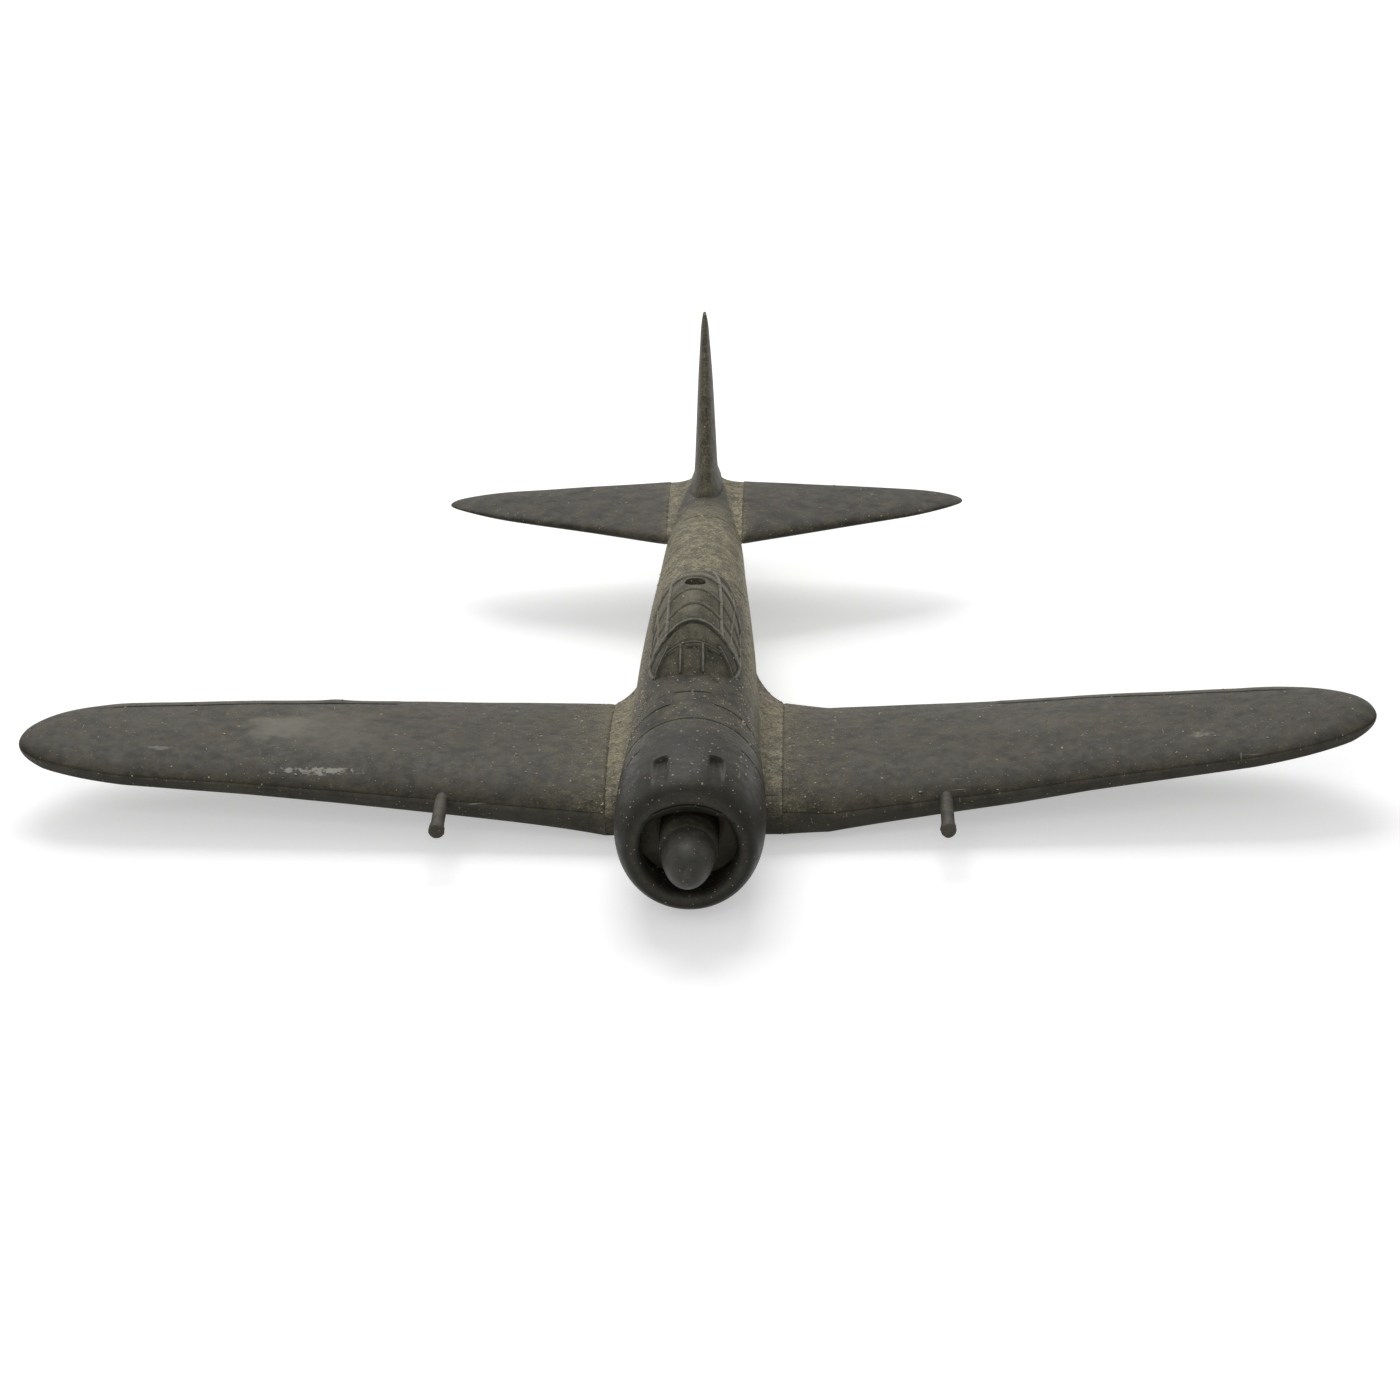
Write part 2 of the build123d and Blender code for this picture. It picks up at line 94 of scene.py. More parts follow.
def groove(offset, width):
    """A soft line: 1 on it, 0 away from it."""
    return np.exp(-(offset / width) ** 2)


def spread(*runs):
    """Sorted positions from several (start, end, step) runs, with near doubles dropped."""
    every = np.unique(np.round(np.concatenate([np.arange(a, b + step / 2, step)
                                               for a, b, step in runs]), 4))
    keep = [every[0]]
    for value in every[1:]:
        if value - keep[-1] > 0.035:
            keep.append(value)
    return np.array(keep)


def waviness(x, y, seed):
    """The slight unevenness of a thin old moulding, from -1 to 1."""
    total = np.zeros(np.broadcast(x, y).shape)
    pick = np.random.default_rng(seed)
    for _ in range(7):
        along, across, start = pick.uniform(0.05, 0.55), pick.uniform(0.05, 0.7), pick.uniform(0, 6.28)
        total = total + np.sin(along * x + start) * np.sin(across * y + 2.1 * start)
    return total / 3.2


def grid_quads(rows, columns, wrap_rows=False, wrap_columns=False, first=0):
    """The faces of a grid of points, row by row."""
    row = np.arange(rows if wrap_rows else rows - 1)[:, None]
    column = np.arange(columns if wrap_columns else columns - 1)[None, :]
    next_row, next_column = (row + 1) % rows, (column + 1) % columns
    quads = np.stack([row * columns + column, row * columns + next_column,
                      next_row * columns + next_column, next_row * columns + column], -1)
    return (quads.reshape(-1, 4) + first).tolist()


def ring_grid(points):
    """A closed shell from a grid whose columns go round: rows x columns x 3, both ends capped."""
    rows, columns = points.shape[:2]
    faces = grid_quads(rows, columns, wrap_columns=True)
    faces.append(list(range(columns)))
    faces.append(list(range((rows - 1) * columns, rows * columns)))
    return points.reshape(-1, 3), faces


def torus_grid(points):
    """A closed shell from a grid that goes round both ways."""
    rows, columns = points.shape[:2]
    return points.reshape(-1, 3), grid_quads(rows, columns, True, True)


def joined(shells):
    """Several shells in one list of points and faces."""
    points, faces, first = [], [], 0
    for shell_points, shell_faces in shells:
        points.append(shell_points)
        faces += [[corner + first for corner in face] for face in shell_faces]
        first += len(shell_points)
    return np.concatenate(points), faces


def finish_mesh(mesh, sharp_degrees=38):
    """Closes seams and poles, points the faces outwards and shades them."""
    work = bmesh.new()
    work.from_mesh(mesh)
    bmesh.ops.remove_doubles(work, verts=work.verts, dist=2e-6)
    bmesh.ops.dissolve_degenerate(work, dist=1e-7, edges=work.edges)
    long_faces = [face for face in work.faces if len(face.verts) > 4]
    bmesh.ops.triangulate(work, faces=long_faces)
    bmesh.ops.recalc_face_normals(work, faces=work.faces)
    work.to_mesh(mesh)
    work.free()
    mesh.shade_smooth()
    mesh.set_sharp_from_angle(angle=math.radians(sharp_degrees))


def add_object(name, data):
    """A new object in the scene."""
    made = bpy.data.objects.new(name, data)
    bpy.context.scene.collection.objects.link(made)
    return made


def mesh_points(mesh):
    """A mesh's points in metres."""
    place = np.empty(len(mesh.vertices) * 3)
    mesh.vertices.foreach_get("co", place)
    return place.reshape(-1, 3)


def drawing_millimetres(points):
    """Metres in the model's frame to drawing millimetres."""
    return (points - np.array([0.0, cad_low.y, thrust_height])) / MM


def settle(piece, material, stands_for, body="airframe"):
    """Gives a finished piece its material and body, and hides the model's parts that it stands for."""
    if material is not None:
        piece.data.materials.clear()
        piece.data.materials.append(material)
    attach(piece, body)
    if stands_for:
        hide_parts(*stands_for)
    return piece


def make_piece(name, shell, material, stands_for, body="airframe", sharp_degrees=38):
    """A piece from points in drawing millimetres and their faces."""
    points, faces = shell
    mesh = bpy.data.meshes.new(name)
    mesh.from_pydata(metres(points).tolist(), [], faces)
    finish_mesh(mesh, sharp_degrees)
    return settle(add_object(name, mesh), material, stands_for, body)


# ---------------------------------------------------------------- shared shader effects

class Wiring:
    """Short calls for adding and joining shader nodes."""

    def __init__(self, tree):
        self.tree = tree

    def node(self, kind, **settings):
        made = self.tree.nodes.new(kind)
        for key, value in settings.items():
            setattr(made, key, value)
        return made

    def feed(self, socket, value):
        if isinstance(value, bpy.types.NodeSocket):
            self.tree.links.new(value, socket)
        else:
            socket.default_value = value

    def maths(self, operation, first, second=0.0, third=None, clamp=False):
        made = self.node("ShaderNodeMath", operation=operation, use_clamp=clamp)
        self.feed(made.inputs[0], first)
        self.feed(made.inputs[1], second)
        if third is not None:
            self.feed(made.inputs[2], third)
        return made.outputs[0]

    def band(self, value, low, high, to_low=0.0, to_high=1.0):
        """A soft step of a value between two levels."""
        made = self.node("ShaderNodeMapRange", interpolation_type="SMOOTHSTEP")
        for key, amount in (("Value", value), ("From Min", low), ("From Max", high),
                            ("To Min", to_low), ("To Max", to_high)):
            self.feed(made.inputs[key], amount)
        return made.outputs["Result"]

    def noise(self, vector, scale, detail=3.0, roughness=0.55, distortion=0.0):
        made = self.node("ShaderNodeTexNoise")
        for key, amount in (("Vector", vector), ("Scale", scale), ("Detail", detail),
                            ("Roughness", roughness), ("Distortion", distortion)):
            self.feed(made.inputs[key], amount)
        return made.outputs["Fac"]

    def mix(self, factor, first, second, blend="MIX"):
        made = self.node("ShaderNodeMix", data_type="RGBA", blend_type=blend)
        self.feed(made.inputs["Factor"], factor)
        self.feed(made.inputs["A"], first)
        self.feed(made.inputs["B"], second)
        return made.outputs["Result"]

    def stretch(self, vector, scale=(1, 1, 1), turn=(0, 0, 0), move=(0, 0, 0)):
        made = self.node("ShaderNodeMapping")
        self.feed(made.inputs["Vector"], vector)
        made.inputs["Location"].default_value = move
        made.inputs["Rotation"].default_value = turn
        made.inputs["Scale"].default_value = scale
        return made.outputs["Vector"]

    def vector(self, operation, first, second=None):
        made = self.node("ShaderNodeVectorMath", operation=operation)
        self.feed(made.inputs[0], first)
        if second is not None:
            self.feed(made.inputs[1], second)
        return made.outputs["Value" if operation == "LENGTH" else "Vector"]

    def split(self, vector):
        made = self.node("ShaderNodeSeparateXYZ")
        self.feed(made.inputs[0], vector)
        return made.outputs

    def seen(self):
        """1 for rays that show a thing itself: straight from the camera, mirrored or through glass."""
        path = self.node("ShaderNodeLightPath").outputs
        return self.maths("MAXIMUM", path["Is Camera Ray"],
                          self.maths("MAXIMUM", path["Is Glossy Ray"], path["Is Transmission Ray"]))


def new_tree(name, kind, inputs, outputs):
    """An empty node tree with named sockets, its wiring, and the sockets of its two ends."""
    tree = bpy.data.node_groups.new(name, kind)
    for label, socket_kind, value in inputs:
        socket = tree.interface.new_socket(label, in_out="INPUT", socket_type="NodeSocket" + socket_kind)
        if value is not None:
            socket.default_value = value
    for label, socket_kind in outputs:
        tree.interface.new_socket(label, in_out="OUTPUT", socket_type="NodeSocket" + socket_kind)
    w = Wiring(tree)
    return tree, w, w.node("NodeGroupInput").outputs, w.node("NodeGroupOutput").inputs


def patch_group():
    """A soft-edged cloudy patch round a point: haze, stains and rubs, and painted light in shaded recesses."""
    tree, w, take, give = new_tree("soft_patch", "ShaderNodeTree", [
        ("Vector", "Vector", None), ("Centre", "Vector", None), ("Size", "Vector", None),
        ("Breakup", "Float", 0.5), ("Breakup Scale", "Float", 300.0)], [("Mask", "Float")])
    away = w.vector("DIVIDE", w.vector("SUBTRACT", take["Vector"], take["Centre"]), take["Size"])
    cloud = w.noise(take["Vector"], take["Breakup Scale"], 4.0, 0.6, 0.6)
    cloud = w.maths("MULTIPLY", w.maths("SUBTRACT", cloud, 0.5), take["Breakup"])
    edge = w.maths("ADD", w.vector("LENGTH", away), w.maths("MULTIPLY", cloud, 3.0))
    w.feed(give["Mask"], w.band(edge, 1.0, 0.25))
    return tree


def grime_group():
    """Dust film, pale specks, fine scratches and mottling of an old black moulding."""
    tree, w, take, give = new_tree("aged_surface", "ShaderNodeTree", [
        ("Vector", "Vector", None), ("Dark", "Color", (0.02, 0.02, 0.02, 1)),
        ("Light", "Color", (0.05, 0.05, 0.045, 1)), ("Dust Colour", "Color", (0.25, 0.22, 0.16, 1)),
        ("Dust", "Float", 0.3), ("Specks", "Float", 0.3), ("Scratches", "Float", 0.3),
        ("Mottle Scale", "Float", 160.0)],
        [("Colour", "Color"), ("Film", "Float"), ("Height", "Float")])
    where = take["Vector"]
    broad = w.noise(where, take["Mottle Scale"], 5.0, 0.6, 0.4)
    plain = w.mix(w.band(broad, 0.32, 0.68), take["Dark"], take["Light"])
    # dust film: cloudy, finer grain on top, thicker on faces that look up
    facing = w.split(w.node("ShaderNodeNewGeometry").outputs["Normal"])
    upward = w.band(facing["Z"], -0.35, 0.9, 0.25, 1.0)
    cloud = w.band(w.noise(where, 420.0, 6.0, 0.65, 0.3), 0.3, 0.72)
    grain = w.band(w.noise(where, 5200.0, 3.0, 0.7), 0.36, 0.68, 0.55, 1.25)
    film = w.maths("MULTIPLY", w.maths("MULTIPLY", cloud, grain), upward)
    film = w.maths("MULTIPLY", film, take["Dust"], clamp=True)
    dusted = w.mix(film, plain, take["Dust Colour"])
    # specks: sparse pale grains of two sizes
    speck_total = None
    for scale, low, high in ((2600.0, 0.21, 0.12), (1150.0, 0.125, 0.06)):
        cells = w.node("ShaderNodeTexVoronoi", feature="F1")
        w.feed(cells.inputs["Vector"], where)
        w.feed(cells.inputs["Scale"], scale)
        w.feed(cells.inputs["Randomness"], 1.0)
        near = w.band(cells.outputs["Distance"], low, high)
        chosen = w.node("ShaderNodeSeparateColor")
        w.feed(chosen.inputs[0], cells.outputs["Color"])
        share = w.maths("MULTIPLY", take["Specks"], 0.34)
        keep = w.maths("LESS_THAN", chosen.outputs[0], share)
        speck = w.maths("MULTIPLY", near, keep)
        speck_total = speck if speck_total is None else w.maths("MAXIMUM", speck_total, speck)
    specked = w.mix(w.maths("MULTIPLY", speck_total, 0.75), dusted, (0.36, 0.33, 0.25, 1))
    # scratches: thin stretched noise lines in two directions
    marks = None
    for turn, scale in (((0, 0, 0.35), (3200, 190, 900)), ((0, 0, -0.9), (170, 2900, 900))):
        streak = w.noise(w.stretch(where, scale, turn), 1.0, 2.0, 0.5)
        line = w.band(streak, 0.715, 0.76)
        marks = line if marks is None else w.maths("MAXIMUM", marks, line)
    rare = w.band(w.noise(where, 150.0, 2.0), 0.5, 0.62)
    marks = w.maths("MULTIPLY", w.maths("MULTIPLY", marks, rare), take["Scratches"])
    scratched = w.mix(marks, specked, (0.22, 0.215, 0.19, 1))
    w.feed(give["Colour"], scratched)
    w.feed(give["Film"], film)
    fine = w.noise(where, 7000.0, 2.0, 0.6)
    soft = w.noise(where, 620.0, 3.0, 0.5)
    height = w.maths("ADD", w.maths("MULTIPLY", fine, 0.25), w.maths("MULTIPLY", soft, 0.5))
    height = w.maths("ADD", height, w.maths("MULTIPLY", speck_total, 0.8))
    height = w.maths("SUBTRACT", height, w.maths("MULTIPLY", marks, 0.5))
    w.feed(give["Height"], height)
    return tree


soft_patch = patch_group()
aged_surface = grime_group()
small_patch = 4.0  # mm; smaller ones are scuffs with ragged edges


def new_material(name):
    """A material with a plastic shader and its wiring."""
    material = bpy.data.materials.new(name)
    material.use_nodes = True
    return material, Wiring(material.node_tree), material.node_tree.nodes["Principled BSDF"]


def aged_plastic(name, dark, light, dust_colour=(0.25, 0.225, 0.17), dust=0.4, specks=0.3,
                 scratches=0.4, mottle=160.0, rough=0.5, patches=(), settled=None, bump=0.35,
                 specular=0.11, worn=0.0):
    """Old black moulded plastic. Patches are (centre mm, size mm, colour, strength, breakup): stains and rubs,
    and painted light in the shaded recesses of the cowling and the disc. settled is (colour, strength)
    for dust in the piece's own "settled" attribute; the wear amount lightens the piece by its stored wear,
    which on the cowling's lip is a painted highlight. The stored dirt darkens the piece: dirt in lines and
    joints, and painted shade towards the wing's nose, beside the canopy's bars and in the cowling's troughs."""
    material, w, shader = new_material(name)
    where = w.node("ShaderNodeTexCoord").outputs["Object"]
    surface = w.node("ShaderNodeGroup", node_tree=aged_surface)
    for key, value in (("Vector", where), ("Dark", (*dark, 1)), ("Light", (*light, 1)),
                       ("Dust Colour", (*dust_colour, 1)), ("Dust", dust), ("Specks", specks),
                       ("Scratches", scratches), ("Mottle Scale", mottle)):
        w.feed(surface.inputs[key], value)
    colour, film = surface.outputs["Colour"], surface.outputs["Film"]
    for centre, size, tint, strength, breakup in patches:
        patch = w.node("ShaderNodeGroup", node_tree=soft_patch)
        w.feed(patch.inputs["Vector"], where)
        patch.inputs["Centre"].default_value = metres([centre])[0].tolist()
        patch.inputs["Size"].default_value = [each * MM for each in size]
        patch.inputs["Breakup"].default_value = breakup
        patch.inputs["Breakup Scale"].default_value = 300.0 if size[0] > small_patch else 1200.0
        colour = w.mix(w.maths("MULTIPLY", patch.outputs["Mask"], strength), colour, (*tint, 1))
    if settled:
        lying = w.node("ShaderNodeAttribute", attribute_name="settled")
        grain = w.band(w.noise(where, 3600.0, 4.0, 0.75), 0.40, 0.62, 0.2, 1.3)
        clumps = w.band(w.noise(where, 800.0, 3.0, 0.6), 0.36, 0.62, 0.4, 1.15)
        amount = w.maths("MULTIPLY", w.maths("MULTIPLY", lying.outputs["Fac"], grain), clumps)
        amount = w.maths("MULTIPLY", amount, settled[1], clamp=True)
        colour = w.mix(amount, colour, (*settled[0], 1))
        film = w.maths("MAXIMUM", film, amount)
    # the stored dirt darkens the colour: dirt in lines and joints, and painted shade towards the wing's nose, beside
    # the canopy's bars and in the cowling's troughs
    darkening = w.node("ShaderNodeAttribute", attribute_name="grime")
    colour = w.mix(w.maths("MULTIPLY", darkening.outputs["Fac"], 0.8, clamp=True), colour,
                   (0.014, 0.0125, 0.009, 1))
    # the stored wear lightens the colour: rubbed edges, and a painted highlight on the crown of the cowling's lip
    if worn:
        rub_and_highlight = w.node("ShaderNodeAttribute", attribute_name="worn")
        broken = w.band(w.noise(where, 1500.0, 4.0, 0.6), 0.3, 0.65, 0.4, 1.1)
        amount = w.maths("MULTIPLY", rub_and_highlight.outputs["Fac"], broken)
        amount = w.maths("MULTIPLY", amount, worn, clamp=True)
        colour = w.mix(amount, colour, (0.24, 0.235, 0.19, 1))
    w.feed(shader.inputs["Base Color"], colour)
    roughness = w.maths("ADD", w.maths("MULTIPLY", film, 0.3), rough)
    uneven = w.band(w.noise(where, 900.0, 3.0), 0.3, 0.7, -0.06, 0.06)
    w.feed(shader.inputs["Roughness"], w.maths("ADD", roughness, uneven, clamp=True))
    shader.inputs["Specular IOR Level"].default_value = specular
    relief = w.node("ShaderNodeBump")
    relief.inputs["Strength"].default_value = bump
    relief.inputs["Distance"].default_value = 0.00006
    w.feed(relief.inputs["Height"], surface.outputs["Height"])
    w.feed(shader.inputs["Normal"], relief.outputs[0])
    return material


# ---------------------------------------------------------------- lines of the model

cowl_lip_y, cowl_widest_y, cowl_rear_y = 8.1, 16.5, 26.0
cowl_radius, cowl_rear_radius, cowl_crown_radius = 8.2, 7.9, 6.1
opening_radius = 5.15
joint_x = 9.8
wing_z, wing_le_y, root_chord = -5.0, 28.7, 32.6
wing_te_y = wing_le_y + root_chord
le_rake, te_rake = 0.088, 0.149
wing_round_length, wing_tip_y = 14.4, 40.8
root_thickness, tip_thickness, camber, edge = 0.145, 0.09, 0.02, 0.36
root_nose_depth, nose_depth = 1.5, 0.85
dihedral = {1: math.radians(5.6), -1: math.radians(4.3)}
set_angle = {1: math.radians(-0.4), -1: math.radians(1.8)}
# the wings of the real moulding are not quite straight: distance out, how far it hangs lower
wing_sag = {1: ((9.8, 15, 36, 44, 62, 68, 76), (0.0, 0.85, 0.85, 0.6, 0.55, 0.25, -0.2)),
            -1: ((9.8, 40, 50, 57, 64, 76), (0.0, 0.0, 0.1, 0.3, 0.5, 0.4))}
side_name = {1: "port", -1: "starboard"}
belly_z = -8.9
tail_joint_x, tail_z, tail_span = 4.6, 2.7, 64.2
tail_le_y, tail_chord = length - 31.1, 21.4
tail_le_rake, tail_te_rake, tail_round_length = 0.42, 0.16, 8.1
tail_tip_y, tail_thickness = length - 17.2, 0.125

# y, half width, top, bottom, fullness
body_lines = [(26.0, 7.9, 7.9, -7.9, 2.0), (36.0, 7.30, 7.85, -9.2, 2.3), (48.0, 7.05, 7.75, -9.6, 2.5),
              (60.0, 6.70, 7.65, -9.0, 2.4), (72.0, 6.05, 7.50, -7.3, 2.3), (84.0, 5.30, 7.00, -5.5, 2.2),
              (97.0, 4.55, 5.90, -3.5, 2.1), (108.0, 3.30, 5.00, -1.7, 2.0), (118.0, 1.80, 4.20, 0.2, 2.0),
              (length, 0.40, 3.20, 1.4, 2.0)]
# y, how far out the fillet reaches, how far in it starts, how far up the side it climbs
fillet_lines = [(28.6, 8.3, 7.0, 0.5), (31.2, 8.6, 6.6, 1.6), (41.7, 9.1, 6.4, 3.0), (52.3, 9.6, 6.1, 4.4),
                (61.3, 9.8, 5.8, 5.6), (63.3, 8.7, 5.7, 5.5), (67.0, 7.4, 5.4, 5.0), (72.0, 6.3, 5.0, 3.6),
                (76.0, 5.5, 4.4, 2.4), (79.0, 4.6, 3.6, 1.2)]
# y, height of the middle that the body's sections are drawn from
centre_lines = [(26.0, -5.0), (72.0, -5.0), (74.0, -4.9), (78.5, -2.9), (84.0, 0.2), (90.0, 2.2),
                (94.0, 2.7), (118.0, 2.7), (length, 2.3)]


def aerofoil(share, thickness, bow, surface):
    """Height over the chord line, as a share of the chord."""
    share = np.asarray(share, float)
    half = 5 * thickness * (0.2969 * np.sqrt(share) - 0.1260 * share - 0.3516 * share ** 2
                            + 0.2843 * share ** 3 - 0.1036 * share ** 4)
    middle = 4 * bow * share * (1 - share)
    return middle + half if surface > 0 else middle - half


def fuller_nose(share, more, surface):
    """How far the moulding droops at the nose, and how much deeper its lower skin is there."""
    droop = 0.35 * np.clip(1 - share / 0.3, 0, 1) ** 2
    deeper = more * ease(share / 0.035) * (1 - share) ** 3 * (surface < 0)
    return droop + deeper


def root_skin(y, surface):
    """Height of the wing's skin beside the body."""
    share = np.clip((y - wing_le_y) / root_chord, 0, 1)
    height = root_chord * aerofoil(share, root_thickness, camber, surface) + surface * share * edge / 2
    return wing_z + height - fuller_nose(share, root_nose_depth, surface)


def ray_length(inside, angle, centre, furthest=18.0):
    """How far a ray from the middle goes before it leaves the shape."""
    near = np.zeros(angle.shape)
    far = np.full(angle.shape, furthest)
    for _ in range(24):
        middle = (near + far) / 2
        hit = inside(middle * np.cos(angle), centre + middle * np.sin(angle))
        near, far = np.where(hit, middle, near), np.where(hit, far, middle)
    return near


def smooth_greater(first, second, blend):
    """The greater of two lengths with the corner between them filled."""
    blend = np.maximum(blend, 1e-4)
    share = np.clip(0.5 + 0.5 * (first - second) / blend, 0, 1)
    return second * (1 - share) + first * share + blend * share * (1 - share)


def body_rays(y, angle, centre):
    """Lengths of the rays to the outside of body, wing root, fillet and tail root together."""
    half_width, top, low, full = [each[:, None] for each in smooth_table(body_lines, y)]
    reach, sunk, climb = [each[:, None] for each in smooth_table(fillet_lines, y)]
    y = y[:, None]
    middle, height = (top + low) / 2, (top - low) / 2

    def in_body(x, z):
        return (np.abs(x) / half_width) ** full + (np.abs(z - middle) / height) ** full < 1

    def fillet_rise(x):
        share = np.clip((np.abs(x) - sunk) / np.maximum(reach - sunk, 0.05), 0, 1)
        return (1 - share ** 0.545) ** (1 / 0.545)

    behind = y > wing_te_y
    foot = np.where(behind, wing_z + edge / 2, root_skin(y, 1))
    under = np.where(behind, wing_z - edge / 2, root_skin(y, -1))
    widest = np.where(behind, reach, joint_x)

    def in_root(x, z):
        rise = fillet_rise(x)
        return ((np.abs(x) <= widest) & (z <= foot + climb * rise)
                & (z >= under - np.where(behind, 0.45 * climb, 0.15 * climb) * rise))

    tail_share = np.clip((y - tail_le_y) / tail_chord, 0, 1)
    half_tail = tail_chord * aerofoil(tail_share, tail_thickness, 0, 1) + tail_share * edge / 2
    in_tail_reach = (y > tail_le_y) & (y < tail_le_y + tail_chord)

    def in_tail(x, z):
        out = np.clip(np.abs(x) / tail_joint_x, 0, 1)
        swell = 1.5 * (1 - out) ** 2 * np.sqrt(np.clip(tail_share * 6, 0, 1))
        return in_tail_reach & (np.abs(x) <= tail_joint_x) & (np.abs(z - tail_z) <= half_tail + swell)

    skin = ray_length(in_body, angle, centre)
    in_wing_reach = (y >= wing_le_y) & (y < 79.0)
    root = np.where(in_wing_reach, ray_length(in_root, angle, centre), 0)
    tail = np.where(in_tail_reach, ray_length(in_tail, angle, centre), 0)
    fade = ease((joint_x - root * np.cos(angle)) / 1.4)
    skin = smooth_greater(skin, np.maximum(root, 0.01), np.where(root > 0, 0.7 * fade + 0.001, 0.001))
    tail_fade = ease((tail_joint_x - tail * np.cos(angle)) / 1.0)
    return smooth_greater(skin, np.maximum(tail, 0.01), np.where(tail > 0, 0.9 * tail_fade + 0.001, 0.001))


panel_line_y, hatch_half, tail_line_y = 30.8, 2.35, 95.8


def body_marks(x, y, z):
    """How deep the body's engraved lines are at a point."""
    over = (z > 0) & (np.abs(x) < 8)
    depth = 0.0 * x
    # panel line behind the cowling, which steps aft round the hatch on top
    step = 3.1 * ease((hatch_half - np.abs(x)) / 0.35) * ease((z - 6) / 0.5)
    depth = depth + 0.16 * groove(y - panel_line_y - step, 0.11) * (z > -3.5)
    for side in (1, -1):
        hatch_side = groove(x - side * hatch_half, 0.1) * ease((y - 30.7) / 0.2) * ease((34.0 - y) / 0.2)
        depth = depth + 0.13 * hatch_side * over
    depth = depth + 0.14 * groove(y - tail_line_y, 0.11) * ease((2.7 - np.abs(x)) / 0.3) * over
    # joint where the body meets the cowling
    depth = depth + 0.14 * groove(y - cowl_rear_y, 0.16)
    return depth


def body_half(side):
    """One half of the body with its roots, and its half of the fin."""
    rows = spread((cowl_rear_y, cowl_rear_y + 1.0, 0.08), (26.0, wing_le_y, 0.3),
                  (wing_le_y, wing_le_y + 0.6, 0.06), (wing_le_y + 0.6, 36.0, 0.25), (30.3, 31.3, 0.05), (33.4, 34.5, 0.05), (36.0, 95.2, 0.45),
                  (wing_te_y - 0.4, wing_te_y + 0.4, 0.08), (95.2, 96.6, 0.055), (96.6, length - 0.6, 0.4),
                  (tail_le_y, tail_le_y + 1.0, 0.08), (length - 0.6, length, 0.12))
    up = np.radians(90) * (np.arange(104) / 103.0) ** 1.45
    down = -np.radians(90) * (np.arange(1, 50) / 49.0) ** 1.3
    angle = np.concatenate([up[::-1], down])
    angle = np.broadcast_to(angle, (len(rows), len(angle))).copy()
    centre = smooth_table(centre_lines, rows)[0][:, None]
    reach = body_rays(rows, angle, centre)
    x, z = reach * np.cos(angle), centre + reach * np.sin(angle)
    y = np.broadcast_to(rows[:, None], x.shape).copy()
    cut = body_marks(x, y, z)
    shrink = 1 - cut / np.maximum(reach, 1.0)
    x, z = x * shrink, centre + (z - centre) * shrink
    in_wing = (y > wing_le_y) & (y < wing_te_y)
    z = np.where(in_wing, np.maximum(z, wing_z), z)
    z = np.maximum(z, belly_z)
    x[:, 0] = 0
    x[:, -1] = 0
    body = ring_grid(np.stack([side * x, y, z], -1))
    return joined([body, fin_half(side)])


# z, leading edge ahead of the tail's end, trailing edge ahead of it, thickness
fin_lines = [(2.6, 26.0, 2.1, 2.8), (7.5, 21.8, 0.7, 2.6), (12.5, 18.3, 1.0, 2.15), (17.5, 15.2, 3.0, 1.65),
             (21.5, 13.0, 5.4, 1.1), (24.2, 11.6, 7.7, 0.7), (25.3, 10.8, 9.3, 0.4)]


def fin_half(side):
    """One half of the fin and rudder, which flares into the spine at its foot."""
    heights = spread((2.6, 9.0, 0.22), (9.0, 24.0, 0.4), (24.0, 25.3, 0.12))
    ahead, behind, thick = [each[:, None] for each in smooth_table(fin_lines, heights)]
    share = (1 - np.cos(np.linspace(0, math.pi, 46))) / 2
    z = heights[:, None] + 0 * share
    chord = ahead - behind
    y = length - ahead + share * chord
    half = chord * aerofoil(share, 1, 0, 1) * thick / chord + share * np.minimum(edge, 0.4 * thick) / 2
    spine = smooth_table(body_lines, np.clip(y, 26, length))[1]
    flare = 0.6 * np.exp(-np.clip(z - spine, 0, 9) / 0.9) * np.sqrt(np.clip(4 * share * (1 - share), 0, 1))
    half = half + flare
    x = np.concatenate([side * half, 0 * half[:, :1]], 1)
    y = np.concatenate([y, y[:, -1:]], 1)
    z = np.concatenate([z, z[:, -1:]], 1)
    return ring_grid(np.stack([x, y, z], -1))


# ---------------------------------------------------------------- wings

def wing_edges(x):
    """Leading and trailing edge of the wing at a distance from the centre plane."""
    out = x - joint_x
    lead, trail = wing_le_y + le_rake * out, wing_te_y - te_rake * out
    start = span / 2 - wing_round_length
    past = np.clip((x - start) / (span / 2 - start), 0, 1)
    rounding = 1 - np.clip(1 - past ** 2.25, 0, 1) ** (1 / 2.25)
    return lead + (wing_tip_y - lead) * rounding, trail + (wing_tip_y - trail) * rounding


def wing_place(x, share, height, side):
    """A point of the wing from its share of the chord and its height over the chord line."""
    out = np.maximum(0.0, x - joint_x)
    nose_down = set_angle[side] * out / (span / 2 - joint_x)
    lead, trail = wing_edges(x)
    along = (share - 0.4) * (trail - lead)
    y = lead + 0.4 * (trail - lead) + along * np.cos(nose_down) - height * np.sin(nose_down)
    sag = np.interp(x, *wing_sag[side])
    z = wing_z - sag + out * math.tan(dihedral[side]) + along * np.sin(nose_down) + height * np.cos(nose_down)
    return y, z


def wing_stations():
    """Distances from the centre plane of the wing's sections."""
    start, tip = span / 2 - wing_round_length, span / 2
    turn = np.linspace(0, math.pi / 2, 66)[1:]
    return np.concatenate([np.arange(joint_x, start, 0.36), start + (tip - start) * np.sin(turn) * 0.9995])


aileron_inboard, aileron_outboard, aileron_width = 34.2, 69.0, 1.5
wing_seam = 0.0085


